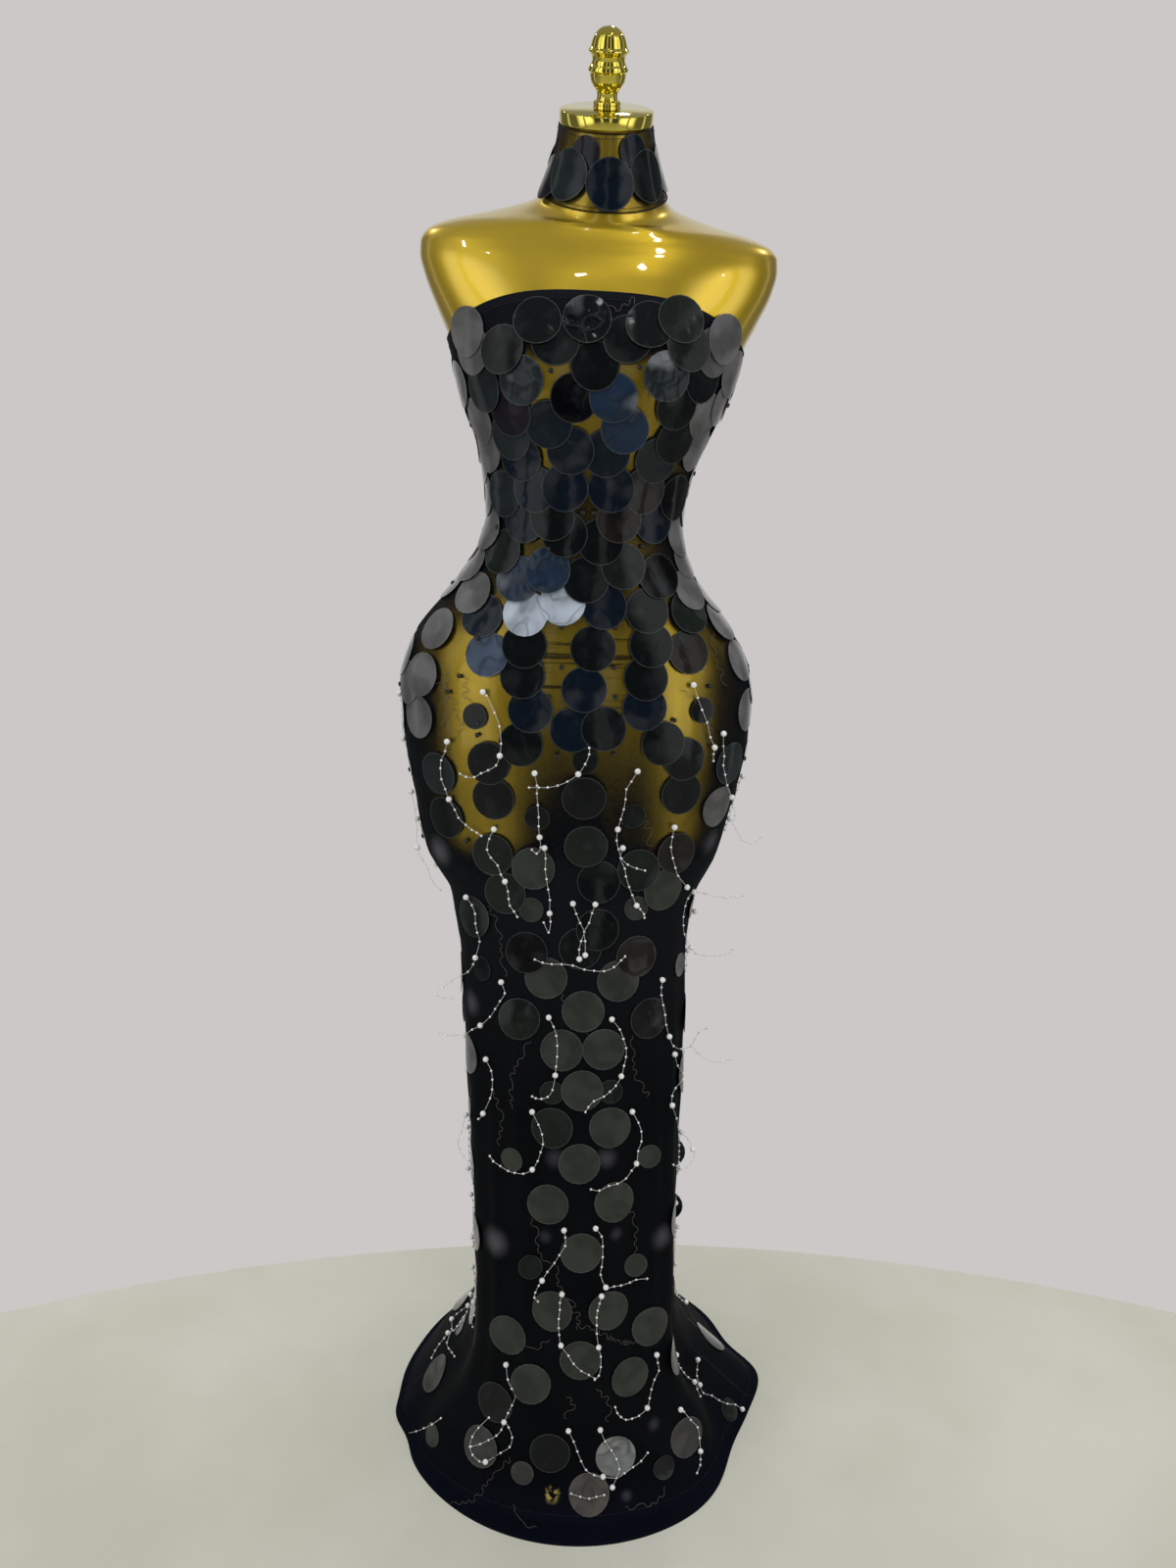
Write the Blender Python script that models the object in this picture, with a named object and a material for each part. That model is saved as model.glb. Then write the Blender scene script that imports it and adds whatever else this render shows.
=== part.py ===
"""Strapless floor-length evening gown and its neck band, on a limbless dress form with a stand.

Metres, +Z up, front facing -Y, origin on the floor at the middle of the footprint.
One smooth figure, worked out from a table of levels, is the outside of the cloth all the way
from the neck to the hem. The dress form is the same figure drawn in by the cloth and some air.
"""
import math
from collections import namedtuple

import bmesh
import bpy
import numpy as np
from mathutils import Matrix, Vector

# ------------------------------------------------------------------ driving sizes, metres
CLOTH_WALL = 0.0012          # thickness of every cloth wall
FORM_CLEAR = 0.0014          # air between the dress form and the cloth
SEAM_GAP = 0.0003            # between two pieces that are sewn, screwed or stood together

GOWN_TOP = 1.461             # middle of the front top edge
SIDE_DROP = 0.054            # how much lower the top edge is under the arms
DROP_POWER = 2.3             # the drop is kept towards the sides
DROP_FADES_AT = 1.30         # below this height the rows of the cloth are level

CHOKER_TOP = 1.624           # neck band, at the middle of the neck
CHOKER_BOTTOM = 1.569
CHOKER_OPENING = 0.0006      # where its two ends meet behind the neck
NECK_RADIUS = 0.06

CUP_MIDDLE = 0.075           # middle of a cup, counted from the middle of the front
CUP_SPREAD = 0.045
HEM_FLAT_FROM = 0.05         # folds open out below this height

FORM_UNDERSIDE = 0.790       # bottom of the form
VALLEY_HALF_WIDTH = 0.030    # shallow valley between the two thighs
FORM_NECK_ROWS = [1.6317, 1.614, 1.597, 1.582, 1.570, 1.561, 1.553, 1.5455, 1.538, 1.530, 1.521,
                  1.511, 1.498, 1.478]

CAP_RADIUS = 0.0500
CAP_THICK = 0.0145
FINIAL_HEIGHT = 0.075

STAND_X = -0.018             # the pole stands a little to one side, under the form,
STAND_Y = -0.022             # and a little forward
POLE_RADIUS = 0.0125
HUB_BOTTOM = 0.060
HUB_TOP = 0.128
LEG_COUNT = 3
LEG_REACH = 0.178            # from the pole to the middle of a foot
LEG_RADIUS = 0.0085
FOOT_RADIUS = 0.013
FOOT_HEIGHT = 0.016

CLOTH_COLUMNS = 22           # columns in each of the two gown panels
CHOKER_COLUMNS = 40
CHOKER_ROWS = 5
BODY_ROW = 0.030             # spacing of cloth rows on the body
SKIRT_ROW = 0.052            # spacing of cloth rows on the straight skirt
THIGH_HEIGHT = 0.78          # the rows are wider apart below this height
FLARE_HEIGHT = 0.165         # and every row of the table is used below this one

# ------------------------------------------------------------------ tables
# One row for each level of the figure, outside of the cloth. front and back are measured from
# middle_y; lean is how far a level drops towards the front for each metre of depth, and tip how
# far it drops towards the right for each metre of width; bust is how far the cups stand forward.
Level = namedtuple("Level", "height half_width front back middle_x middle_y squareness lean tip bust")
FIGURE = [
    Level(1.6320, 0.0500, 0.0500, 0.0500, 0.001, -0.018, 2.00, 0.384, 0.020, 0.000),
    Level(1.6160, 0.0530, 0.0530, 0.0530, 0.001, -0.013, 2.00, 0.400, 0.025, 0.000),
    Level(1.6000, 0.0575, 0.0575, 0.0570, 0.001, -0.007, 2.00, 0.420, 0.030, 0.000),
    Level(1.5850, 0.0630, 0.0625, 0.0610, 0.000, -0.001, 2.00, 0.440, 0.035, 0.000),
    Level(1.5700, 0.0692, 0.0675, 0.0645, 0.000, 0.004, 2.00, 0.440, 0.035, 0.000),
    Level(1.5580, 0.0800, 0.0710, 0.0700, -0.001, 0.007, 2.05, 0.370, 0.045, 0.000),
    Level(1.5480, 0.1170, 0.0730, 0.0740, -0.002, 0.009, 2.15, 0.250, 0.050, 0.000),
    Level(1.5370, 0.1660, 0.0740, 0.0770, -0.003, 0.010, 2.30, 0.150, 0.045, 0.000),
    Level(1.5240, 0.1930, 0.0760, 0.0800, -0.004, 0.009, 2.40, 0.080, 0.040, 0.000),
    Level(1.5110, 0.2000, 0.0790, 0.0820, -0.004, 0.007, 2.45, 0.040, 0.035, 0.000),
    Level(1.4980, 0.2005, 0.0830, 0.0840, -0.004, 0.005, 2.45, 0.020, 0.035, 0.000),
    Level(1.4740, 0.1950, 0.0890, 0.0870, -0.004, 0.002, 2.40, 0.000, 0.035, 0.001),
    Level(1.4400, 0.1805, 0.0970, 0.0890, -0.005, 0.000, 2.35, 0.000, 0.035, 0.005),
    Level(1.4100, 0.1670, 0.1050, 0.0890, -0.006, 0.000, 2.30, 0.000, 0.035, 0.010),
    Level(1.3850, 0.1595, 0.1090, 0.0880, -0.007, 0.000, 2.25, 0.000, 0.035, 0.013),
    Level(1.3600, 0.1525, 0.1090, 0.0860, -0.008, 0.000, 2.20, 0.000, 0.035, 0.012),
    Level(1.3400, 0.1450, 0.1065, 0.0840, -0.009, 0.000, 2.20, 0.000, 0.035, 0.009),
    Level(1.3000, 0.1275, 0.1000, 0.0800, -0.011, 0.000, 2.15, 0.000, 0.035, 0.003),
    Level(1.2600, 0.1170, 0.0940, 0.0790, -0.014, 0.000, 2.15, 0.000, 0.035, 0.000),
    Level(1.2200, 0.1120, 0.0900, 0.0800, -0.015, 0.000, 2.15, 0.000, 0.035, 0.000),
    Level(1.1800, 0.1230, 0.0920, 0.0850, -0.017, 0.000, 2.15, 0.000, 0.035, 0.000),
    Level(1.1400, 0.1480, 0.0985, 0.0940, -0.019, 0.000, 2.15, 0.000, 0.035, 0.000),
    Level(1.1000, 0.1805, 0.1065, 0.1060, -0.020, 0.000, 2.15, 0.000, 0.035, 0.000),
    Level(1.0600, 0.2035, 0.1140, 0.1180, -0.021, 0.000, 2.15, 0.000, 0.035, 0.000),
    Level(1.0200, 0.2120, 0.1200, 0.1280, -0.022, 0.000, 2.15, 0.000, 0.035, 0.000),
    Level(0.9700, 0.2115, 0.1225, 0.1340, -0.022, 0.000, 2.15, 0.000, 0.035, 0.000),
    Level(0.9300, 0.2070, 0.1215, 0.1320, -0.023, 0.000, 2.15, 0.000, 0.035, 0.000),
    Level(0.8800, 0.1965, 0.1180, 0.1240, -0.024, 0.000, 2.20, 0.000, 0.030, 0.000),
    Level(0.8400, 0.1885, 0.1155, 0.1150, -0.025, 0.000, 2.25, 0.000, 0.020, 0.000),
    Level(0.8150, 0.1820, 0.1145, 0.1080, -0.026, -0.001, 2.30, 0.000, 0.010, 0.000),
    Level(0.7950, 0.1705, 0.1145, 0.1030, -0.025, -0.003, 2.35, 0.000, 0.005, 0.000),
    Level(0.7700, 0.1555, 0.1140, 0.0990, -0.0235, -0.006, 2.40, 0.000, 0.000, 0.000),
    Level(0.7400, 0.1490, 0.1140, 0.0970, -0.024, -0.009, 2.45, 0.000, 0.000, 0.000),
    Level(0.6900, 0.1430, 0.1140, 0.0960, -0.022, -0.014, 2.50, 0.000, 0.000, 0.000),
    Level(0.6000, 0.1410, 0.1150, 0.0980, -0.019, -0.024, 2.55, 0.000, 0.000, 0.000),
    Level(0.5000, 0.1380, 0.1160, 0.1050, -0.017, -0.036, 2.60, 0.000, 0.000, 0.000),
    Level(0.4000, 0.1350, 0.1200, 0.1180, -0.015, -0.048, 2.60, 0.000, 0.000, 0.000),
    Level(0.3000, 0.1335, 0.1250, 0.1380, -0.013, -0.060, 2.60, 0.000, 0.000, 0.000),
    Level(0.2200, 0.1340, 0.1300, 0.1550, -0.012, -0.068, 2.55, 0.000, 0.000, 0.000),
    Level(0.1600, 0.1410, 0.1360, 0.1720, -0.012, -0.072, 2.45, 0.000, 0.000, 0.000),
    Level(0.1100, 0.1590, 0.1490, 0.1880, -0.011, -0.068, 2.35, 0.000, 0.000, 0.000),
    Level(0.0700, 0.1880, 0.1630, 0.2080, -0.010, -0.062, 2.25, 0.000, 0.000, 0.000),
    Level(0.0380, 0.2130, 0.1780, 0.2280, -0.009, -0.055, 2.15, 0.000, 0.000, 0.000),
    Level(0.0160, 0.2310, 0.1930, 0.2440, -0.008, -0.050, 2.10, 0.000, 0.000, 0.000),
    Level(0.0045, 0.2400, 0.2060, 0.2530, -0.007, -0.048, 2.05, 0.000, 0.000, 0.000),
    Level(CLOTH_WALL, 0.2440, 0.2120, 0.2590, -0.006, -0.047, 2.00, 0.000, 0.000, 0.000),
    Level(CLOTH_WALL, 0.2510, 0.2430, 0.2700, -0.006, -0.049, 2.00, 0.000, 0.000, 0.000),
]

# One row for each fold of the skirt. angle is counted from the right hand side seam, front
# folds below zero; out_by is how far the cloth stands out, or in where it is below zero; the
# fold grows from `starts` down to `full`, and `at_hem` is the share of it left at the hem.
Fold = namedtuple("Fold", "name angle spread out_by starts full at_hem")
FOLDS = [
    Fold("right front edge", -33, 9, 0.010, 0.72, 0.35, 0.0),
    Fold("behind right front edge", -14, 10, -0.012, 0.34, 0.10, 0.0),
    Fold("right lobe of the hem", 9, 9, 0.018, 0.11, 0.02, 0.9),
    Fold("notch behind the right lobe", 25, 9, -0.010, 0.10, 0.02, 0.7),
    Fold("right front hollow of the hem", -22, 18, -0.021, 0.09, 0.01, 1.0),
    Fold("left front edge", -149, 10, 0.006, 0.70, 0.35, 0.0),
    Fold("beside left front edge", -168, 10, -0.006, 0.30, 0.10, 0.0),
    Fold("left point of the hem", -171, 6, 0.005, 0.05, 0.01, 1.0),
    Fold("left front hollow of the hem", -159, 7, -0.005, 0.06, 0.01, 1.0),
    Fold("right back edge", 38, 11, 0.006, 0.68, 0.30, 0.0),
    Fold("right back hollow", 62, 12, -0.010, 0.50, 0.12, 0.1),
    Fold("middle back ridge", 92, 12, 0.010, 0.45, 0.10, 0.2),
    Fold("left back hollow", 121, 12, -0.009, 0.48, 0.12, 0.1),
    Fold("left back edge", 148, 11, 0.007, 0.66, 0.30, 0.1),
    Fold("left side of the train", 172, 10, 0.004, 0.12, 0.03, 0.6),
]

# How far the form's foot is drawn in from the figure, besides the cloth, above its flat end.
FormFoot = namedtuple("FormFoot", "above drawn_in")
FORM_FOOT = [
    FormFoot(0.000, 0.0340),
    FormFoot(0.004, 0.0210),
    FormFoot(0.012, 0.0110),
    FormFoot(0.026, 0.0040),
    FormFoot(0.045, 0.0008),
    FormFoot(0.070, 0.0000),
]

# Depth of the valley between the thighs, by height.
Valley = namedtuple("Valley", "height depth")
VALLEY = [
    Valley(FORM_UNDERSIDE, 0.034),
    Valley(0.840, 0.027),
    Valley(0.890, 0.016),
    Valley(0.940, 0.006),
    Valley(0.990, 0.000),
]

# Turned outlines: radius and height, from the bottom up.
Turn = namedtuple("Turn", "radius height")
CAP_OUTLINE = [
    Turn(0.0, 0.0), Turn(0.0485, 0.0), Turn(0.0497, 0.0012), Turn(CAP_RADIUS, 0.0030),
    Turn(CAP_RADIUS, CAP_THICK - 0.0022), Turn(0.0495, CAP_THICK - 0.0007),
    Turn(0.0483, CAP_THICK), Turn(0.0, CAP_THICK),
]
FINIAL_OUTLINE = [
    Turn(0.0, 0.0), Turn(0.0141, 0.0), Turn(0.0147, 0.0016), Turn(0.0140, 0.0035),
    Turn(0.0146, 0.0051), Turn(0.0141, 0.0071), Turn(0.0113, 0.0086), Turn(0.0109, 0.0116),
    Turn(0.0111, 0.0152), Turn(0.0121, 0.0172), Turn(0.0151, 0.0208), Turn(0.0177, 0.0248),
    Turn(0.0188, 0.0299), Turn(0.0192, 0.0330), Turn(0.0212, 0.0355), Turn(0.0199, 0.0387),
    Turn(0.0179, 0.0417), Turn(0.0171, 0.0446), Turn(0.0180, 0.0482), Turn(0.0201, 0.0512),
    Turn(0.0213, 0.0532), Turn(0.0199, 0.0554), Turn(0.0189, 0.0569), Turn(0.0175, 0.0620),
    Turn(0.0149, 0.0673), Turn(0.0110, 0.0715), Turn(0.0060, 0.0741), Turn(0.0, FINIAL_HEIGHT),
]
HUB_OUTLINE = [
    Turn(0.0, HUB_BOTTOM), Turn(0.0170, HUB_BOTTOM), Turn(0.0205, HUB_BOTTOM + 0.006),
    Turn(0.0215, HUB_BOTTOM + 0.020), Turn(0.0215, HUB_BOTTOM + 0.046),
    Turn(0.0190, HUB_BOTTOM + 0.056), Turn(0.0165, HUB_TOP), Turn(0.0, HUB_TOP),
]
FLANGE_RADIUS = 0.030
FLANGE_THICK = 0.006
POLE_OUTLINE = [
    Turn(0.0, HUB_TOP + SEAM_GAP), Turn(POLE_RADIUS, HUB_TOP + SEAM_GAP),
    Turn(POLE_RADIUS, 0.720), Turn(0.0165, 0.732),
    Turn(0.0165, FORM_UNDERSIDE - SEAM_GAP - FLANGE_THICK - 0.004),
    Turn(0.0200, FORM_UNDERSIDE - SEAM_GAP - FLANGE_THICK),
    Turn(FLANGE_RADIUS, FORM_UNDERSIDE - SEAM_GAP - FLANGE_THICK),
    Turn(FLANGE_RADIUS, FORM_UNDERSIDE - SEAM_GAP), Turn(0.0, FORM_UNDERSIDE - SEAM_GAP),
]
FOOT_OUTLINE = [
    Turn(0.0, 0.0), Turn(0.0100, 0.0), Turn(0.0124, 0.0020), Turn(FOOT_RADIUS, 0.0055),
    Turn(0.0118, 0.0110), Turn(0.0092, FOOT_HEIGHT), Turn(0.0, FOOT_HEIGHT),
]

# One leg, from the hub to its foot: distance from the pole and height.
LegPoint = namedtuple("LegPoint", "reach height")
LEG_PATH = [
    LegPoint(0.0224, 0.0920), LegPoint(0.035, 0.0925), LegPoint(0.060, 0.0990),
    LegPoint(0.085, 0.0985), LegPoint(0.113, 0.0870), LegPoint(0.138, 0.0680),
    LegPoint(0.161, 0.0490), LegPoint(LEG_REACH, 0.0320),
    LegPoint(LEG_REACH, FOOT_HEIGHT + SEAM_GAP),
]
LEG_STEPS = 20

# Colour, roughness and metallic value of each finish.
Finish = namedtuple("Finish", "color roughness metallic")
FINISHES = {
    "black_mesh": Finish((0.012, 0.012, 0.015), 0.75, 0.0),
    "gold_paint": Finish((0.58, 0.41, 0.06), 0.28, 0.85),
    "polished_brass": Finish((0.80, 0.62, 0.22), 0.08, 1.0),
}


# ------------------------------------------------------------------ the figure
def soft_step(value):
    """0 below 0, 1 above 1, and an S curve between."""
    value = np.clip(value, 0.0, 1.0)
    return value * value * (3.0 - 2.0 * value)


def through(places, values, wanted):
    """A smooth curve through a table column that never swings past its rows.

    Each stretch is a cubic whose slope at a row is the harmonic mean of the two straight
    slopes beside it, or level where they disagree.
    """
    steps = np.diff(places)
    slopes = np.diff(values) / steps
    same_way = slopes[:-1] * slopes[1:] > 0
    safe = np.where(same_way, slopes[:-1] + slopes[1:], 1.0)
    middle = np.where(same_way, 2.0 * slopes[:-1] * slopes[1:] / safe, 0.0)
    tangents = np.concatenate([slopes[:1], middle, slopes[-1:]])
    index = np.clip(np.searchsorted(places, wanted, side="right") - 1, 0, len(steps) - 1)
    step = steps[index]
    t = (wanted - places[index]) / step
    return (values[index] * (1 + 2 * t) * (1 - t) ** 2 + tangents[index] * step * t * (1 - t) ** 2
            + values[index + 1] * t * t * (3 - 2 * t) + tangents[index + 1] * step * t * t * (t - 1))


COLUMNS = {name: np.array([getattr(row, name) for row in FIGURE]) for name in Level._fields}
FRONT_LINE = COLUMNS["front"] - COLUMNS["middle_y"]
# Length of cloth from the neck down to each row, measured down the middle of the front.
ROW_STEPS = np.hypot(np.diff(COLUMNS["height"]), np.diff(FRONT_LINE))
LENGTHS = np.concatenate([[0.0], np.cumsum(ROW_STEPS)])
FLOOR_ROWS = 2               # the last rows of the table lie on the floor


def length_at(height):
    """Length of cloth down to a height that is above the floor."""
    falling = COLUMNS["height"][:-1][::-1]
    return np.interp(height, falling, LENGTHS[:-1][::-1])


def figure(length, angle, folds=True):
    """Points on the outside of the cloth, for arrays of lengths and of angles in radians.

    A level is a superellipse about its middle, with one depth in front and another behind.
    Its points drop towards the front by its lean and to the right by its tip. Two round cups
    stand forward at the bust, and each fold is a bell curve in the angle that pushes the cloth
    straight out.
    """
    at = {name: through(LENGTHS, COLUMNS[name], length) for name in Level._fields}
    cos, sin = np.cos(angle), np.sin(angle)
    power = 2.0 / at["squareness"]
    depth = np.where(sin < 0, at["front"], at["back"])
    x = at["half_width"] * np.sign(cos) * np.abs(cos) ** power
    y = depth * np.sign(sin) * np.abs(sin) ** power
    cups = np.exp(-((np.abs(x) - CUP_MIDDLE) / CUP_SPREAD) ** 2) * np.where(sin < 0, -sin, 0.0)
    y = y - at["bust"] * cups
    if folds:
        for fold in FOLDS:
            turn = (np.degrees(angle) - fold.angle + 180.0) % 360.0 - 180.0
            share = soft_step((fold.starts - at["height"]) / (fold.starts - fold.full))
            kept = fold.at_hem + (1 - fold.at_hem) * soft_step(at["height"] / HEM_FLAT_FROM)
            push = fold.out_by * share * kept * np.exp(-(turn / fold.spread) ** 2)
            x = x + push * cos
            y = y + push * sin
    z = at["height"] + at["lean"] * y - at["tip"] * x
    return np.stack([at["middle_x"] + x, at["middle_y"] + y, z], axis=-1)


def outward(length, angle):
    """Unit normals of the figure, from the cross product of its two small steps."""
    small_length, small_angle = 0.0008, 0.004
    down = figure(length + small_length, angle) - figure(length - small_length, angle)
    round_ = figure(length, angle + small_angle) - figure(length, angle - small_angle)
    normal = np.cross(down, round_)
    return normal / np.linalg.norm(normal, axis=-1, keepdims=True)


# ------------------------------------------------------------------ meshes
def material(name):
    """A Principled material with one of the finishes."""
    found = bpy.data.materials.get(name)
    if found:
        return found
    finish = FINISHES[name]
    made = bpy.data.materials.new(name)
    made.use_nodes = True
    shader = made.node_tree.nodes["Principled BSDF"]
    shader.inputs["Base Color"].default_value = (*finish.color, 1.0)
    shader.inputs["Roughness"].default_value = finish.roughness
    shader.inputs["Metallic"].default_value = finish.metallic
    return made


def add_object(name, mesh, finish, sharp_degrees=35):
    """Put a mesh in the scene under its node's name, shaded smooth but for its sharp edges."""
    mesh.materials.append(material(finish))
    mesh.shade_smooth()
    mesh.set_sharp_from_angle(angle=math.radians(sharp_degrees))
    made = bpy.data.objects.new(name, mesh)
    bpy.context.scene.collection.objects.link(made)
    return made


def grid_faces(rows, columns, closed, start=0):
    """Quads between neighbouring points of a grid, written as index rows."""
    row = np.arange(rows - 1)[:, None]
    column = np.arange(columns if closed else columns - 1)[None, :]
    following = (column + 1) % columns
    corners = [row * columns + column, row * columns + following,
               (row + 1) * columns + following, (row + 1) * columns + column]
    spread = np.zeros_like(row + column)
    return start + np.stack([corner + spread for corner in corners], axis=-1).reshape(-1, 4)


def mesh_from(name, points, faces):
    """A mesh whose faces point out of the closed body."""
    mesh = bpy.data.meshes.new(name)
    mesh.from_pydata([tuple(p) for p in points], [], [tuple(f) for f in faces])
    shape = bmesh.new()
    shape.from_mesh(mesh)
    bmesh.ops.recalc_face_normals(shape, faces=shape.faces)
    shape.to_mesh(mesh)
    shape.free()
    return mesh


def wall(name, outside, inside, finish):
    """A closed wall between two grids of points, with its four edges filled in."""
    rows, columns = outside.shape[:2]
    count = rows * columns
    outer = grid_faces(rows, columns, closed=False)
    inner = grid_faces(rows, columns, closed=False, start=count)[:, ::-1]
    number = np.arange(count).reshape(rows, columns)
    border = np.concatenate([number[0, :-1], number[:-1, -1], number[-1, :0:-1], number[:0:-1, 0]])
    following = np.roll(border, -1)
    rim = np.stack([following, border, border + count, following + count], axis=-1)
    points = np.concatenate([outside.reshape(-1, 3), inside.reshape(-1, 3)])
    return add_object(name, mesh_from(name, points, np.concatenate([outer, inner, rim])), finish)


def skinned(name, rings, finish, sharp_degrees=35):
    """A solid through closed rings of points, with a fan over its first and last ring."""
    rows, columns = rings.shape[:2]
    faces = grid_faces(rows, columns, closed=True).tolist()
    points = np.concatenate([rings.reshape(-1, 3), rings[:1].mean(axis=1), rings[-1:].mean(axis=1)])
    first, last = rows * columns, rows * columns + 1
    for column in range(columns):
        following = (column + 1) % columns
        faces.append((first, following, column))
        faces.append((last, (rows - 1) * columns + column, (rows - 1) * columns + following))
    return add_object(name, mesh_from(name, points, faces), finish, sharp_degrees)


def turned(name, outline, segments, finish, sharp_degrees=35):
    """A solid spun from an outline about Z, which starts and ends on the axis."""
    shape = bmesh.new()
    corners = [shape.verts.new((row.radius, 0.0, row.height)) for row in outline]
    edges = [shape.edges.new(pair) for pair in zip(corners, corners[1:])]
    bmesh.ops.spin(shape, geom=corners + edges, cent=(0, 0, 0), axis=(0, 0, 1),
                   angle=math.tau, steps=segments, use_merge=True)
    bmesh.ops.remove_doubles(shape, verts=shape.verts, dist=1e-6)
    bmesh.ops.recalc_face_normals(shape, faces=shape.faces)
    mesh = bpy.data.meshes.new(name)
    shape.to_mesh(mesh)
    shape.free()
    return add_object(name, mesh, finish, sharp_degrees)


# ------------------------------------------------------------------ cloth
def top_edge_drop(angle):
    """How far the gown's top edge lies below the middle of its front."""
    towards_side = np.abs(np.cos(angle)) ** DROP_POWER
    return SIDE_DROP * np.where(np.sin(angle) < 0, towards_side, 1.0)


def gown_lengths():
    """Lengths of the cloth's rows: close on the body, wider on the skirt, every row of the flare."""
    body = np.arange(GOWN_TOP, THIGH_HEIGHT, -BODY_ROW)
    skirt = np.arange(body[-1] - SKIRT_ROW, FLARE_HEIGHT, -SKIRT_ROW)
    flare = LENGTHS[COLUMNS["height"] < FLARE_HEIGHT]
    return np.concatenate([length_at(body), length_at(skirt), flare])


def gown_panel(name, first_degrees, last_degrees):
    """One half of the gown, from its top edge down to the hem that lies on the floor."""
    angle = np.radians(np.linspace(first_degrees, last_degrees, CLOTH_COLUMNS + 1))[None, :]
    length = gown_lengths()[:, None] + 0.0 * angle
    top, level_from = length_at(GOWN_TOP), length_at(DROP_FADES_AT)
    length = length + top_edge_drop(angle) * soft_step((level_from - length) / (level_from - top))
    angle = angle + 0.0 * length
    outside = figure(length, angle)
    inside = outside - CLOTH_WALL * outward(length, angle)
    inside[-FLOOR_ROWS:, :, :2] = outside[-FLOOR_ROWS:, :, :2]
    inside[-FLOOR_ROWS:, :, 2] = 0.0
    inside[..., 2] = np.maximum(inside[..., 2], 0.0)
    side = np.sign(np.sin(angle[0, 1]))
    for edge in (0, -1):
        outside[:, edge, 1] += side * SEAM_GAP / 2
        inside[:, edge, 1] += side * SEAM_GAP / 2
    return wall(name, outside, inside, "black_mesh")


def choker():
    """The neck band, one strip whose two ends meet behind the neck."""
    half_opening = CHOKER_OPENING / 2 / NECK_RADIUS
    first, last = math.pi / 2 + half_opening, math.pi * 2.5 - half_opening
    angle = np.linspace(first, last, CHOKER_COLUMNS + 1)[None, :]
    length = np.linspace(length_at(CHOKER_TOP), length_at(CHOKER_BOTTOM), CHOKER_ROWS)[:, None]
    length, angle = length + 0.0 * angle, angle + 0.0 * length
    outside = figure(length, angle)
    inside = outside - CLOTH_WALL * outward(length, angle)
    return wall("choker", outside, inside, "black_mesh")


# ------------------------------------------------------------------ dress form
def dress_form():
    """The limbless body: the figure drawn in by the cloth and its air, with a rounded foot."""
    body = np.arange(GOWN_TOP, FORM_UNDERSIDE + 0.080, -BODY_ROW)
    foot = FORM_UNDERSIDE + np.array([row.above for row in FORM_FOOT])[::-1]
    height = np.concatenate([FORM_NECK_ROWS, body, foot])
    angle = np.linspace(0.0, math.tau, 2 * CLOTH_COLUMNS, endpoint=False)[None, :]
    length = length_at(height)[:, None] + 0.0 * angle
    angle = angle + 0.0 * length
    drawn_in = CLOTH_WALL + FORM_CLEAR
    rings = figure(length, angle, folds=False) - drawn_in * outward(length, angle)
    top = FIGURE[0]
    across, depth = rings[0, :, 0] - top.middle_x, rings[0, :, 1] - top.middle_y
    rings[0, :, 2] = FORM_NECK_ROWS[0] + top.lean * depth - top.tip * across
    above = rings[..., 2] - FORM_UNDERSIDE
    more = np.interp(above, [row.above for row in FORM_FOOT], [row.drawn_in for row in FORM_FOOT])
    valley = np.interp(rings[..., 2], [row.height for row in VALLEY], [row.depth for row in VALLEY])
    middle = rings.mean(axis=1, keepdims=True)
    across = (rings[..., 0] - middle[..., 0]) / VALLEY_HALF_WIDTH
    rings[..., 0] -= more * np.cos(angle)
    rings[..., 1] -= (more + valley * np.exp(-across ** 2)) * np.sin(angle)
    rings[-1, :, 2] = FORM_UNDERSIDE
    return skinned("dress_form", rings, "gold_paint", sharp_degrees=60)


def stand_on_neck(made, lift):
    """Tip a turned piece onto the neck's slanting top and lift it along the neck's axis."""
    top = FIGURE[0]
    axis = Vector((top.tip, -top.lean, 1.0)).normalized()
    place = Vector((top.middle_x, top.middle_y, FORM_NECK_ROWS[0])) + lift * axis
    turn = Vector((0, 0, 1)).rotation_difference(axis)
    made.matrix_world = Matrix.Translation(place) @ turn.to_matrix().to_4x4()
    return made


# ------------------------------------------------------------------ stand
def leg(number):
    """One curved leg, a round bar from the hub down to the top of its foot."""
    turn = math.radians(-90 + 360 * number / LEG_COUNT)
    reach = np.array([p.reach for p in LEG_PATH])
    height = np.array([p.height for p in LEG_PATH])
    along = np.concatenate([[0.0], np.cumsum(np.hypot(np.diff(reach), np.diff(height)))])
    wanted = np.linspace(0.0, along[-1], LEG_STEPS)
    radii = through(along, reach, wanted)
    heights = through(along, height, wanted)
    curve = bpy.data.curves.new(f"leg_{number + 1}", "CURVE")
    curve.dimensions = "3D"
    curve.bevel_depth = LEG_RADIUS
    curve.bevel_resolution = 2
    curve.use_fill_caps = True
    line = curve.splines.new("POLY")
    line.points.add(LEG_STEPS - 1)
    for point, distance, z in zip(line.points, radii, heights):
        point.co = (STAND_X + distance * math.cos(turn), STAND_Y + distance * math.sin(turn), z, 1.0)
    curve.materials.append(material("polished_brass"))
    made = bpy.data.objects.new(f"leg_{number + 1}", curve)
    bpy.context.scene.collection.objects.link(made)
    return made


def foot(number):
    """The pad under one leg."""
    turn = math.radians(-90 + 360 * number / LEG_COUNT)
    made = turned(f"foot_{number + 1}", FOOT_OUTLINE, 14, "polished_brass")
    made.location = (STAND_X + LEG_REACH * math.cos(turn), STAND_Y + LEG_REACH * math.sin(turn), 0.0)
    return made


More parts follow.
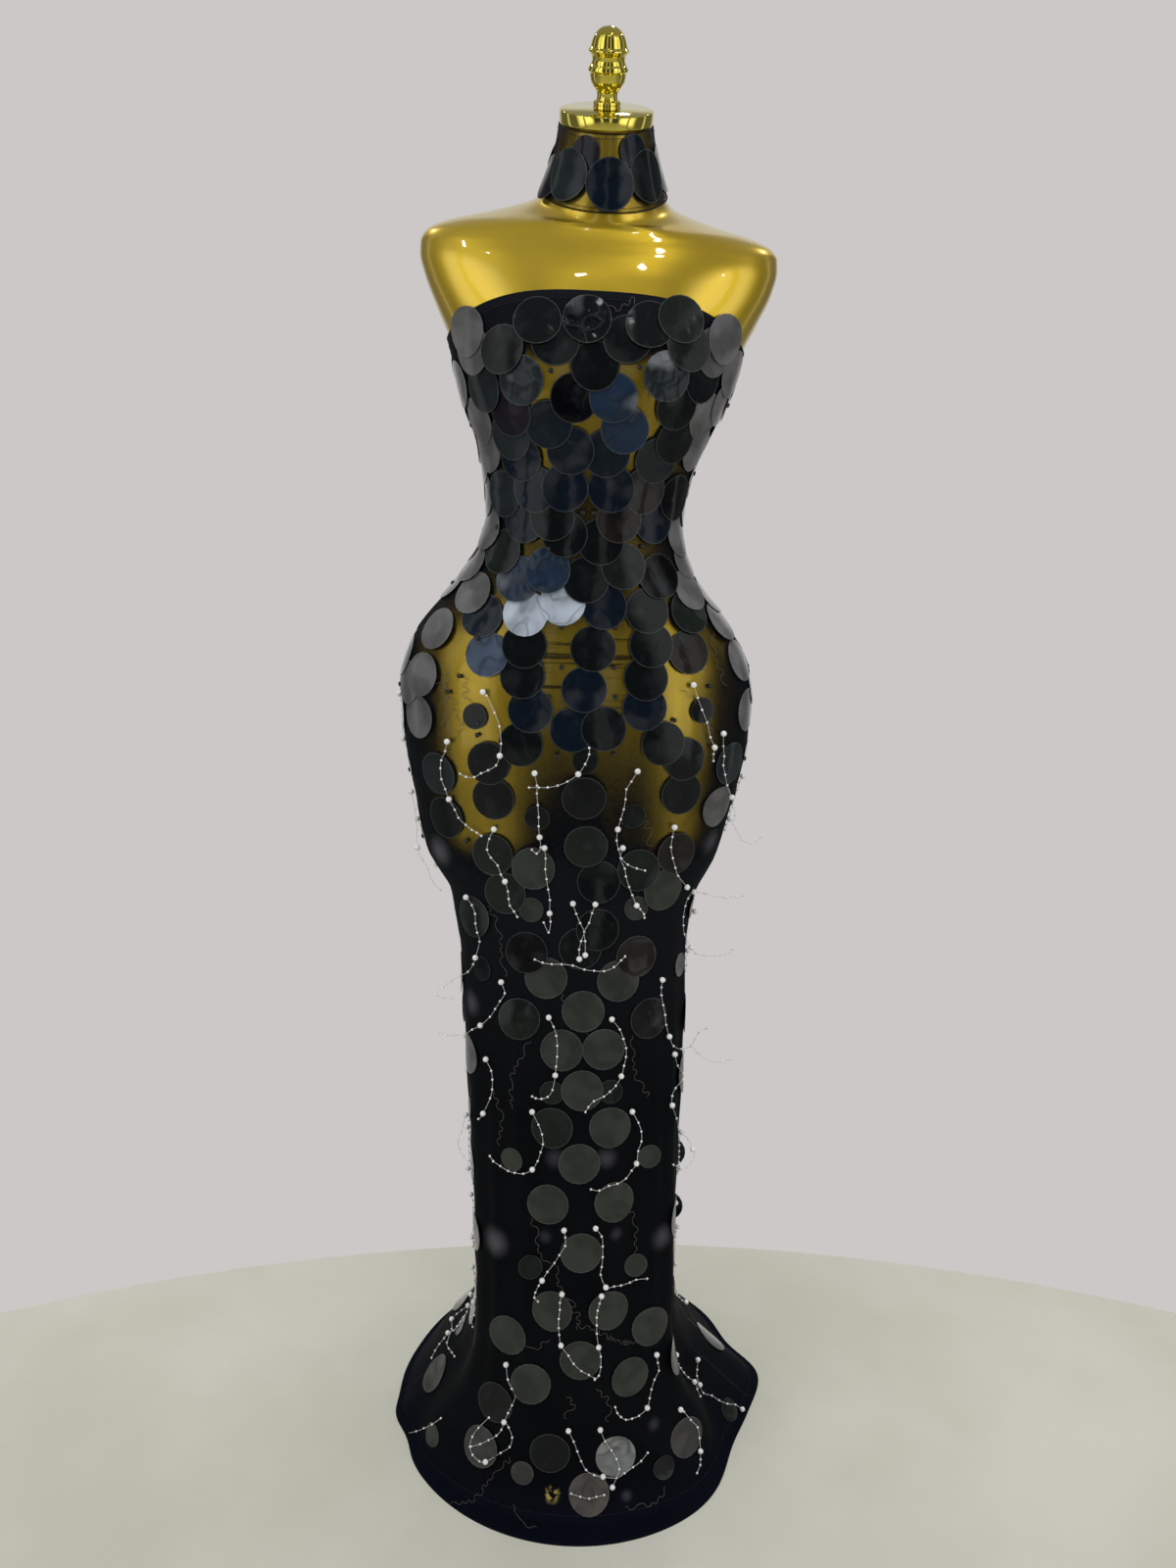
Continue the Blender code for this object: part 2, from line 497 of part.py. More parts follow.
def stand():
    """Pole, hub, legs and feet."""
    pole = turned("stand_pole", POLE_OUTLINE, 18, "polished_brass")
    hub = turned("stand_hub", HUB_OUTLINE, 20, "polished_brass")
    for made in (pole, hub):
        made.location = (STAND_X, STAND_Y, 0.0)
    pieces = [pole, hub]
    for number in range(LEG_COUNT):
        pieces += [leg(number), foot(number)]
    return pieces


def main():
    for old in list(bpy.context.scene.objects):
        bpy.data.objects.remove(old, do_unlink=True)
    around = np.radians(np.linspace(-180, 180, 2 * CLOTH_COLUMNS + 1))
    hem = figure(np.full(len(around), LENGTHS[-1]), around)
    middle = (hem.max(axis=0) + hem.min(axis=0)) / 2
    footprint = bpy.data.objects.new("footprint_middle", None)
    bpy.context.scene.collection.objects.link(footprint)

    pieces = [gown_panel("gown_front", -180, 0), gown_panel("gown_back", 0, 180)]
    pieces += [choker(), dress_form()]
    cap = turned("neck_cap", CAP_OUTLINE, 36, "polished_brass")
    finial = turned("finial", FINIAL_OUTLINE, 22, "polished_brass")
    pieces.append(stand_on_neck(cap, SEAM_GAP))
    pieces.append(stand_on_neck(finial, CAP_THICK + 2 * SEAM_GAP))
    pieces += stand()
    for piece in pieces:
        piece.parent = footprint
    footprint.location = (-middle[0], -middle[1], 0.0)
    bpy.context.view_layer.update()


main()
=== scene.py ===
"""Strapless floor-length evening gown of sheer black stretch mesh, set with round paillettes, pearl
strands, studs and fancy threads, its neck band, and the limbless gold dress form that wears it.

Metres, +Z up, front facing -Y. One smooth figure, worked out from a table of levels, is the outside
of the cloth from the neck to the hem. Everything on the cloth is placed in the cloth's own two
measures: the length of cloth down from the neck, and the angle round the body.
"""
import math
from collections import namedtuple

import bpy
import numpy as np
from mathutils import Matrix, Vector
from mathutils.bvhtree import BVHTree


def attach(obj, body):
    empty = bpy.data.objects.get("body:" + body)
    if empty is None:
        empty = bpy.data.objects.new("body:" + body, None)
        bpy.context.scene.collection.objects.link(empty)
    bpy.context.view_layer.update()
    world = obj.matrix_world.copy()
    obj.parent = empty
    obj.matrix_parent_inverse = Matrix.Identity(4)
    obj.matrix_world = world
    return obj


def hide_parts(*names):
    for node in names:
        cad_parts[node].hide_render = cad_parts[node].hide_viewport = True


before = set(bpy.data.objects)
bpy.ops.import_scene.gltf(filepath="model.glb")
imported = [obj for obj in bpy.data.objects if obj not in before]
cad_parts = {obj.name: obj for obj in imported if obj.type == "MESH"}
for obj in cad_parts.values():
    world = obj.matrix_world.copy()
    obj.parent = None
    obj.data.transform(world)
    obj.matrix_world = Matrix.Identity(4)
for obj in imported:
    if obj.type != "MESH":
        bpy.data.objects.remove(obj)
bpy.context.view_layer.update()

# ------------------------------------------------------------------ camera
CAMERA_PLACE = Vector((-0.004738, -1.415476, 1.333))
CAMERA_TILT, CAMERA_ROLL = 73.20, 1.009      # degrees up from straight down, and sideways
CAMERA_TURN = (Matrix.Rotation(math.radians(CAMERA_TILT), 3, "X")
               @ Matrix.Rotation(math.radians(CAMERA_ROLL), 3, "Z"))
PICTURE_WIDTH, PICTURE_HEIGHT = 1200, 1600
FOCAL_PIXELS = 1235.0
SENSOR = 36.0                # millimetres along the picture's height
NEAR_CLIP, FAR_CLIP = 0.05, 60.0

camera_data = bpy.data.cameras.new("camera")
camera_data.sensor_width = SENSOR
camera_data.lens = FOCAL_PIXELS / PICTURE_HEIGHT * SENSOR
camera_data.clip_start, camera_data.clip_end = NEAR_CLIP, FAR_CLIP
camera = bpy.data.objects.new("camera", camera_data)
camera.matrix_world = Matrix.Translation(CAMERA_PLACE) @ CAMERA_TURN.to_4x4()
bpy.context.scene.collection.objects.link(camera)
bpy.context.scene.camera = camera
bpy.context.scene.view_settings.view_transform = "Standard"

# ------------------------------------------------------------------ driving sizes, metres
CLOTH_WALL = 0.0010          # thickness of every cloth wall
CAD_WALL = 0.0012            # what the solid's walls take up, which the form keeps clear of
FORM_CLEAR = 0.0014          # air between the dress form and the solid's cloth
SEAM_GAP = 0.0003            # between two pieces that are sewn, screwed or stood together
GOWN_TOP = 1.461             # middle of the front top edge
SIDE_DROP = 0.054            # how much lower the top edge is under the arms
DROP_POWER = 2.3             # the drop is kept towards the sides
DROP_FADES_AT = 1.30         # below this height the rows of the cloth are level
CHOKER_TOP = 1.6298          # neck band, at the middle of the neck
CHOKER_BOTTOM = 1.569
BAND_RISE = 0.0030           # its top edge, drawn up round the cap
CHOKER_OPENING = 0.0006      # where its two ends meet behind the neck
NECK_RADIUS = 0.06
CUP_MIDDLE = 0.075           # middle of a cup, counted from the middle of the front
CUP_SPREAD = 0.045
HEM_FLAT_FROM = 0.05         # folds open out below this height
HEM_TURN_UP = 0.040          # depth of the hem's turned-up band
FORM_UNDERSIDE = 0.790       # bottom of the form
VALLEY_HALF_WIDTH = 0.030    # shallow valley between the two thighs
SHOULDERS_END = 1.472        # below this height the form's rows are further apart
NECK_TOP = 1.6317
BAND_FROM = 1.5              # above this height the cloth is the neck band's
CAP_RADIUS = 0.0500
CAP_THICK = 0.0145
FINIAL_HEIGHT = 0.075

# ------------------------------------------------------------------ tables
# One row for each level of the figure, outside of the cloth. front and back are measured from
# middle_y; lean is how far a level drops towards the front for each metre of depth, and tip how
# far it drops towards the right for each metre of width; bust is how far the cups stand forward.
# The last three are 0 where a row leaves them out.
Level = namedtuple("Level", "height half_width front back middle_x middle_y squareness lean tip bust",
                   defaults=(0.0, 0.0, 0.0))
FIGURE = [
    Level(1.6320, 0.0500, 0.0500, 0.0500, 0.001, -0.018, 2.00, 0.384, 0.020),
    Level(1.6160, 0.0530, 0.0530, 0.0530, 0.001, -0.013, 2.00, 0.400, 0.025),
    Level(1.6000, 0.0575, 0.0575, 0.0570, 0.001, -0.007, 2.00, 0.420, 0.030),
    Level(1.5850, 0.0630, 0.0625, 0.0610, 0.000, -0.001, 2.00, 0.440, 0.035),
    Level(1.5700, 0.0692, 0.0675, 0.0645, 0.000, 0.004, 2.00, 0.440, 0.035),
    Level(1.5580, 0.0800, 0.0710, 0.0700, -0.001, 0.007, 2.05, 0.370, 0.045),
    Level(1.5480, 0.1170, 0.0730, 0.0740, -0.002, 0.009, 2.15, 0.250, 0.050),
    Level(1.5370, 0.1660, 0.0740, 0.0770, -0.003, 0.010, 2.30, 0.150, 0.045),
    Level(1.5240, 0.1930, 0.0760, 0.0800, -0.004, 0.009, 2.40, 0.080, 0.040),
    Level(1.5110, 0.2000, 0.0790, 0.0820, -0.004, 0.007, 2.45, 0.040, 0.035),
    Level(1.4980, 0.2005, 0.0830, 0.0840, -0.004, 0.005, 2.45, 0.020, 0.035),
    Level(1.4740, 0.1950, 0.0890, 0.0870, -0.004, 0.002, 2.40, 0.000, 0.035, 0.001),
    Level(1.4400, 0.1805, 0.0970, 0.0890, -0.005, 0.000, 2.35, 0.000, 0.035, 0.005),
    Level(1.4100, 0.1670, 0.1050, 0.0890, -0.006, 0.000, 2.30, 0.000, 0.035, 0.010),
    Level(1.3850, 0.1595, 0.1090, 0.0880, -0.007, 0.000, 2.25, 0.000, 0.035, 0.013),
    Level(1.3600, 0.1525, 0.1090, 0.0860, -0.008, 0.000, 2.20, 0.000, 0.035, 0.012),
    Level(1.3400, 0.1450, 0.1065, 0.0840, -0.009, 0.000, 2.20, 0.000, 0.035, 0.009),
    Level(1.3000, 0.1275, 0.1000, 0.0800, -0.011, 0.000, 2.15, 0.000, 0.035, 0.003),
    Level(1.2600, 0.1170, 0.0940, 0.0790, -0.014, 0.000, 2.15, 0.000, 0.035),
    Level(1.2200, 0.1120, 0.0900, 0.0800, -0.015, 0.000, 2.15, 0.000, 0.035),
    Level(1.1800, 0.1230, 0.0920, 0.0850, -0.017, 0.000, 2.15, 0.000, 0.035),
    Level(1.1400, 0.1480, 0.0985, 0.0940, -0.019, 0.000, 2.15, 0.000, 0.035),
    Level(1.1000, 0.1805, 0.1065, 0.1060, -0.020, 0.000, 2.15, 0.000, 0.035),
    Level(1.0600, 0.2035, 0.1140, 0.1180, -0.021, 0.000, 2.15, 0.000, 0.035),
    Level(1.0200, 0.2120, 0.1200, 0.1280, -0.022, 0.000, 2.15, 0.000, 0.035),
    Level(0.9700, 0.2115, 0.1225, 0.1340, -0.022, 0.000, 2.15, 0.000, 0.035),
    Level(0.9300, 0.2070, 0.1215, 0.1320, -0.023, 0.000, 2.15, 0.000, 0.035),
    Level(0.8800, 0.1965, 0.1180, 0.1240, -0.024, 0.000, 2.20, 0.000, 0.030),
    Level(0.8400, 0.1885, 0.1155, 0.1150, -0.025, 0.000, 2.25, 0.000, 0.020),
    Level(0.8150, 0.1820, 0.1145, 0.1080, -0.026, -0.001, 2.30, 0.000, 0.010),
    Level(0.7950, 0.1705, 0.1145, 0.1030, -0.025, -0.003, 2.35, 0.000, 0.005),
    Level(0.7700, 0.1555, 0.1140, 0.0990, -0.0235, -0.006, 2.40),
    Level(0.7400, 0.1490, 0.1140, 0.0970, -0.024, -0.009, 2.45),
    Level(0.6900, 0.1430, 0.1140, 0.0960, -0.022, -0.014, 2.50),
    Level(0.6000, 0.1410, 0.1150, 0.0980, -0.019, -0.024, 2.55),
    Level(0.5000, 0.1380, 0.1160, 0.1050, -0.017, -0.036, 2.60),
    Level(0.4000, 0.1350, 0.1200, 0.1180, -0.015, -0.048, 2.60),
    Level(0.3000, 0.1335, 0.1250, 0.1380, -0.013, -0.060, 2.60),
    Level(0.2200, 0.1340, 0.1300, 0.1550, -0.012, -0.068, 2.55),
    Level(0.1600, 0.1410, 0.1360, 0.1720, -0.012, -0.072, 2.45),
    Level(0.1100, 0.1590, 0.1490, 0.1880, -0.011, -0.068, 2.35),
    Level(0.0700, 0.1880, 0.1630, 0.2080, -0.010, -0.062, 2.25),
    Level(0.0380, 0.2130, 0.1780, 0.2280, -0.009, -0.055, 2.15),
    Level(0.0160, 0.2310, 0.1930, 0.2440, -0.008, -0.050, 2.10),
    Level(0.0045, 0.2400, 0.2060, 0.2530, -0.007, -0.048, 2.05),
    Level(CLOTH_WALL, 0.2440, 0.2120, 0.2590, -0.006, -0.047, 2.00),
    Level(CLOTH_WALL, 0.2510, 0.2430, 0.2700, -0.006, -0.049, 2.00),
]

# One row for each fold of the skirt. angle is counted from the right hand side seam, front
# folds below zero; out_by is how far the cloth stands out, or in where it is below zero; the
# fold grows from `starts` down to `full`, and `at_hem` is the share of it left at the hem.
Fold = namedtuple("Fold", "name angle spread out_by starts full at_hem")
FOLDS = [
    Fold("right front edge", -33, 9, 0.010, 0.72, 0.35, 0.0),
    Fold("behind right front edge", -14, 10, -0.012, 0.34, 0.10, 0.0),
    Fold("right lobe of the hem", 9, 9, 0.018, 0.11, 0.02, 0.9),
    Fold("notch behind the right lobe", 25, 9, -0.010, 0.10, 0.02, 0.7),
    Fold("right front hollow of the hem", -22, 18, -0.021, 0.09, 0.01, 1.0),
    Fold("left front edge", -149, 10, 0.006, 0.70, 0.35, 0.0),
    Fold("beside left front edge", -168, 10, -0.006, 0.30, 0.10, 0.0),
    Fold("left point of the hem", -171, 6, 0.005, 0.05, 0.01, 1.0),
    Fold("left front hollow of the hem", -159, 7, -0.005, 0.06, 0.01, 1.0),
    Fold("right back edge", 38, 11, 0.006, 0.68, 0.30, 0.0),
    Fold("right back hollow", 62, 12, -0.010, 0.50, 0.12, 0.1),
    Fold("middle back ridge", 92, 12, 0.010, 0.45, 0.10, 0.2),
    Fold("left back hollow", 121, 12, -0.009, 0.48, 0.12, 0.1),
    Fold("left back edge", 148, 11, 0.007, 0.66, 0.30, 0.1),
    Fold("left side of the train", 172, 10, 0.004, 0.12, 0.03, 0.6),
]

# How far the form's foot is drawn in from the figure, besides the cloth, above its flat end.
FormFoot = namedtuple("FormFoot", "above drawn_in")
FORM_FOOT = [
    FormFoot(0.000, 0.0340),
    FormFoot(0.004, 0.0210),
    FormFoot(0.012, 0.0110),
    FormFoot(0.026, 0.0040),
    FormFoot(0.045, 0.0008),
    FormFoot(0.070, 0.0000),
]

# Depth of the valley between the thighs, by height.
Valley = namedtuple("Valley", "height depth")
VALLEY = [
    Valley(FORM_UNDERSIDE, 0.034),
    Valley(0.840, 0.027),
    Valley(0.890, 0.016),
    Valley(0.940, 0.006),
    Valley(0.990, 0.000),
]

# Turned outlines: radius and height, from the bottom up.
Turn = namedtuple("Turn", "radius height")
CAP_OUTLINE = [
    Turn(0.0, 0.0), Turn(0.0485, 0.0), Turn(0.0497, 0.0012), Turn(CAP_RADIUS, 0.0030),
    Turn(CAP_RADIUS, CAP_THICK - 0.0022), Turn(0.0495, CAP_THICK - 0.0007),
    Turn(0.0483, CAP_THICK), Turn(0.0, CAP_THICK),
]
FINIAL_OUTLINE = [
    Turn(0.0, 0.0), Turn(0.0141, 0.0), Turn(0.0147, 0.0016), Turn(0.0140, 0.0035),
    Turn(0.0146, 0.0051), Turn(0.0141, 0.0071), Turn(0.0113, 0.0086), Turn(0.0109, 0.0116),
    Turn(0.0111, 0.0152), Turn(0.0121, 0.0172), Turn(0.0151, 0.0208), Turn(0.0177, 0.0248),
    Turn(0.0188, 0.0299), Turn(0.0192, 0.0330), Turn(0.0212, 0.0355), Turn(0.0199, 0.0387),
    Turn(0.0179, 0.0417), Turn(0.0171, 0.0446), Turn(0.0180, 0.0482), Turn(0.0201, 0.0512),
    Turn(0.0213, 0.0532), Turn(0.0199, 0.0554), Turn(0.0189, 0.0569), Turn(0.0175, 0.0620),
    Turn(0.0149, 0.0673), Turn(0.0110, 0.0715), Turn(0.0060, 0.0741), Turn(0.0, FINIAL_HEIGHT),
]


# ------------------------------------------------------------------ the figure
def soft_step(value):
    """0 below 0, 1 above 1, and an S curve between."""
    value = np.clip(value, 0.0, 1.0)
    return value * value * (3.0 - 2.0 * value)


def unit(vectors):
    """Vectors shortened or stretched to length 1."""
    return vectors / np.maximum(np.linalg.norm(vectors, axis=-1, keepdims=True), 1e-12)


def wrapped(degrees):
    """A turn in degrees, brought to between -180 and 180."""
    return (degrees + 180.0) % 360.0 - 180.0


def through(places, values, wanted):
    """A smooth curve through a table column that never swings past its rows.

    Each stretch is a cubic whose slope at a row is the harmonic mean of the two straight
    slopes beside it, or level where they disagree.
    """
    steps = np.diff(places)
    slopes = np.diff(values) / steps
    same_way = slopes[:-1] * slopes[1:] > 0
    safe = np.where(same_way, slopes[:-1] + slopes[1:], 1.0)
    middle = np.where(same_way, 2.0 * slopes[:-1] * slopes[1:] / safe, 0.0)
    tangents = np.concatenate([slopes[:1], middle, slopes[-1:]])
    index = np.clip(np.searchsorted(places, wanted, side="right") - 1, 0, len(steps) - 1)
    step = steps[index]
    t = (wanted - places[index]) / step
    return (values[index] * (1 + 2 * t) * (1 - t) ** 2 + tangents[index] * step * t * (1 - t) ** 2
            + values[index + 1] * t * t * (3 - 2 * t) + tangents[index + 1] * step * t * t * (t - 1))


COLUMNS = {name: np.array([getattr(row, name) for row in FIGURE]) for name in Level._fields}
FRONT_LINE = COLUMNS["front"] - COLUMNS["middle_y"]
# Length of cloth from the neck down to each row, measured down the middle of the front.
ROW_STEPS = np.hypot(np.diff(COLUMNS["height"]), np.diff(FRONT_LINE))
LENGTHS = np.concatenate([[0.0], np.cumsum(ROW_STEPS)])


def length_at(height):
    """Length of cloth down to a height above the floor, which the table's last row lies on."""
    falling = COLUMNS["height"][:-1][::-1]
    return np.interp(height, falling, LENGTHS[:-1][::-1])


def figure(length, angle, folds=True):
    """Points on the outside of the cloth, for arrays of lengths and of angles in radians.

    A level is a superellipse about its middle, with one depth in front and another behind.
    Its points drop towards the front by its lean and to the right by its tip. Two round cups
    stand forward at the bust, and each fold is a bell curve in the angle that pushes the cloth
    straight out.
    """
    at = {name: through(LENGTHS, COLUMNS[name], length) for name in Level._fields}
    cos, sin = np.cos(angle), np.sin(angle)
    power = 2.0 / at["squareness"]
    depth = np.where(sin < 0, at["front"], at["back"])
    x = at["half_width"] * np.sign(cos) * np.abs(cos) ** power
    y = depth * np.sign(sin) * np.abs(sin) ** power
    cups = np.exp(-((np.abs(x) - CUP_MIDDLE) / CUP_SPREAD) ** 2) * np.where(sin < 0, -sin, 0.0)
    y = y - at["bust"] * cups
    if folds:
        for fold in FOLDS:
            turn = wrapped(np.degrees(angle) - fold.angle)
            share = soft_step((fold.starts - at["height"]) / (fold.starts - fold.full))
            kept = fold.at_hem + (1 - fold.at_hem) * soft_step(at["height"] / HEM_FLAT_FROM)
            push = fold.out_by * share * kept * np.exp(-(turn / fold.spread) ** 2)
            x = x + push * cos
            y = y + push * sin
    z = at["height"] + at["lean"] * y - at["tip"] * x
    return np.stack([at["middle_x"] + x, at["middle_y"] + y, z], axis=-1)


def outward(length, angle):
    """Unit normals of the figure, from the cross product of its two small steps."""
    small_length, small_angle = 0.0008, 0.004
    down = figure(length + small_length, angle) - figure(length - small_length, angle)
    round_ = figure(length, angle + small_angle) - figure(length, angle - small_angle)
    return unit(np.cross(down, round_))


# The footprint's middle is the origin, as in the solid.
HEM_ROUND = np.radians(np.linspace(-180, 180, 45))
HEM_EDGE = figure(np.full(len(HEM_ROUND), LENGTHS[-1]), HEM_ROUND)
SHIFT = -(HEM_EDGE.max(axis=0) + HEM_EDGE.min(axis=0)) / 2 * np.array([1.0, 1.0, 0.0])

# Soft creases of the stretched cloth: a trough where depth is below zero, a ridge above it. Each
# runs from one angle and height to another, bowed sideways by bow degrees, and fades at both ends.
Crease = namedtuple("Crease", "from_angle from_height to_angle to_height width depth bow")
CREASES = [
    Crease(-118, 0.80, -112, 0.10, 0.010, 0.0030, 3), Crease(-104, 0.62, -101, 0.06, 0.012, -0.0026, -2),
    Crease(-92, 0.70, -93, 0.12, 0.009, 0.0020, 2), Crease(-78, 0.56, -80, 0.05, 0.012, 0.0026, 2),
    Crease(-64, 0.74, -58, 0.08, 0.011, -0.0030, -3), Crease(-50, 0.66, -47, 0.05, 0.010, 0.0034, 2),
    Crease(-132, 0.60, -136, 0.05, 0.011, 0.0030, 3), Crease(-98, 0.20, -128, 0.03, 0.013, 0.0032, 0),
    Crease(-84, 0.18, -52, 0.03, 0.013, 0.0032, 0), Crease(-12, 0.90, -22, 0.35, 0.012, 0.0024, 3),
    Crease(168, 0.88, 176, 0.30, 0.012, 0.0024, -3), Crease(-160, 0.98, -120, 0.80, 0.009, -0.0009, 5),
    Crease(-20, 0.98, -60, 0.80, 0.009, -0.0009, -5), Crease(-152, 1.24, -112, 1.20, 0.007, -0.0009, 3),
    Crease(-28, 1.24, -68, 1.20, 0.007, -0.0009, -3), Crease(-150, 1.19, -116, 1.17, 0.007, 0.0012, 2),
    Crease(-30, 1.19, -64, 1.17, 0.007, 0.0012, -2), Crease(30, 0.80, 34, 0.06, 0.012, 0.0034, 3),
    Crease(50, 0.66, 46, 0.06, 0.012, -0.0030, -3), Crease(76, 0.72, 78, 0.05, 0.012, 0.0030, 2),
    Crease(104, 0.62, 101, 0.05, 0.012, -0.0030, -2), Crease(118, 0.78, 116, 0.08, 0.011, 0.0032, 3),
    Crease(138, 0.60, 140, 0.05, 0.012, -0.0028, 2), Crease(156, 0.72, 158, 0.10, 0.011, 0.0030, 2),
    Crease(84, 0.20, 56, 0.03, 0.013, 0.0034, 0), Crease(98, 0.20, 124, 0.03, 0.013, 0.0034, 0),
    Crease(30, 1.23, 66, 1.19, 0.007, -0.0009, 3), Crease(150, 1.23, 114, 1.19, 0.007, -0.0009, -3),
    Crease(24, 1.18, 60, 1.16, 0.007, 0.0012, 2), Crease(156, 1.18, 120, 1.16, 0.007, 0.0012, -2),
    Crease(72, 0.84, 40, 0.80, 0.009, 0.0020, 4), Crease(108, 0.84, 140, 0.80, 0.009, 0.0020, -4),
]
CREASE_STARTS_OVER, CREASE_ENDS_OVER = 0.3, 0.22     # shares of a crease's run
RIPPLE = 0.0005
LOOSE_BELOW = 0.76           # below this height the cloth stands off the body


def crease_push(length, angle):
    """How far the creases push the cloth out: a bell across each crease times an S curve at its ends.

    A faint ripple, the product of two sines, comes on top. It is strongest on the loose skirt, and
    everything fades where the cloth lies on the floor.
    """
    height = through(LENGTHS, COLUMNS["height"], length)
    reach = through(LENGTHS, COLUMNS["half_width"], length)
    push = np.zeros_like(height)
    for crease in CREASES:
        along = (crease.from_height - height) / (crease.from_height - crease.to_height)
        inside = np.clip(along, 0.0, 1.0)
        swing = wrapped(crease.to_angle - crease.from_angle)
        middle = crease.from_angle + swing * inside + crease.bow * np.sin(math.pi * inside)
        across = np.radians(wrapped(np.degrees(angle) - middle)) * reach / crease.width
        ends = soft_step(along / CREASE_STARTS_OVER) * soft_step((1.0 - along) / CREASE_ENDS_OVER)
        push = push + crease.depth * ends * np.exp(-across ** 2)
    ripple = RIPPLE * np.sin(9.0 * angle + 31.0 * length) * np.sin(23.0 * length - 4.0 * np.sin(angle))
    loose = soft_step((LOOSE_BELOW - height) / 0.2) * soft_step((height - 0.01) / 0.05)
    lying = soft_step((height - 0.004) / 0.03)
    return push * lying + ripple * (0.3 + 2.2 * loose) * lying


def cloth(length, angle):
    """Points on the outside of the creased cloth: the figure pushed out along its own normals."""
    length, angle = np.broadcast_arrays(np.asarray(length, float), np.asarray(angle, float))
    return SHIFT + figure(length, angle) + outward(length, angle) * crease_push(length, angle)[..., None]


def cloth_axes(length, angle):
    """Three unit vectors of the cloth at a place: sideways, up along the cloth, and out of it."""
    small_length, small_angle = 0.004, 0.02
    length, angle = np.broadcast_arrays(np.asarray(length, float), np.asarray(angle, float))
    up = cloth(length - small_length, angle) - cloth(length + small_length, angle)
    side = cloth(length, angle + small_angle) - cloth(length, angle - small_angle)
    out = unit(np.cross(side, up))
    up = unit(up)
    return np.cross(up, out), up, out


def round_radius(length, angle):
    """Length of cloth for each radian round the body."""
    step = 0.02
    return np.linalg.norm(cloth(length, angle + step) - cloth(length, angle - step), axis=-1) / (2 * step)


def height_of(length):
    """Height of the figure at a length of cloth down from the neck."""
    return through(LENGTHS, COLUMNS["height"], np.asarray(length, float))


# ------------------------------------------------------------------ materials
def display(red, green, blue):
    """A linear colour from one in display steps of 0 to 255."""
    share = np.array([red, green, blue]) / 255.0
    return tuple(np.where(share <= 0.04045, share / 12.92, ((share + 0.055) / 1.055) ** 2.4))


class Wire:
    """An output socket that Python's operators and abs() work on. Each one adds one Math node."""

    def __init__(self, finish, socket):
        self.finish, self.socket = finish, socket

    def math(self, operation, first, second):
        return self.finish.add("Math", {"operation": operation}, {0: first, 1: second})

    def __add__(self, other):
        return self.math("ADD", self, other)

    def __sub__(self, other):
        return self.math("SUBTRACT", self, other)

    def __rsub__(self, other):
        return self.math("SUBTRACT", other, self)

    def __mul__(self, other):
        return self.math("MULTIPLY", self, other)

    def __pow__(self, other):
        return self.math("POWER", self, other)

    def __abs__(self):
        return self.finish.add("Math", {"operation": "ABSOLUTE"}, {0: self})

    __radd__, __rmul__ = __add__, __mul__

    def fade(self, low, high, start=0.0, end=1.0):
        """An S curve from start to end as the value goes from low to high."""
        return self.finish.add("MapRange", {"interpolation_type": "SMOOTHSTEP"}, {
            "Value": self, "From Min": low, "From Max": high, "To Min": start, "To Max": end})


class Board:
    """A tree of nodes, and the one method that adds any node to it."""

    def __init__(self, tree):
        self.tree = tree

    def add(self, kind, settings, sockets, take=0):
        """A node of a type, with its settings set first, then the values or links of its sockets."""
        made = self.tree.nodes.new("ShaderNode" + kind)
        for name, value in settings.items():
            if name == "stops":
                made.color_ramp.elements.remove(made.color_ramp.elements[1])
                for number, (place, color) in enumerate(value):
                    stops = made.color_ramp.elements
                    stop = stops.new(place) if number else stops[0]
                    stop.position, stop.color = place, (*color, 1.0)
            else:
                setattr(made, name, value)
        for name, value in sockets.items():
            self.put(made.inputs[name], value)
        return Wire(self, made.outputs[take])

    def put(self, socket, value):
        if isinstance(value, Wire):
            self.tree.links.new(value.socket, socket)
        else:
            socket.default_value = value

    def parts(self, vector):
        """The three numbers of a vector."""
        made = self.add("SeparateXYZ", {}, {0: vector})
        return [Wire(self, made.socket.node.outputs[axis]) for axis in range(3)]

    def noise(self, vector, scale, detail=3.0, roughness=0.55):
        return self.add("TexNoise", {}, {"Vector": vector, "Scale": scale, "Detail": detail,
                                         "Roughness": roughness})

    def stretched(self, vector, *scale):
        return self.add("Mapping", {}, {"Vector": vector, "Scale": scale})

    def blend(self, share, first, second):
        """Mix two colours."""
        paint = [value if isinstance(value, Wire) else (*value, 1.0) for value in (first, second)]
        return self.add("Mix", {"data_type": "RGBA"}, {0: share, 6: paint[0], 7: paint[1]}, 2)


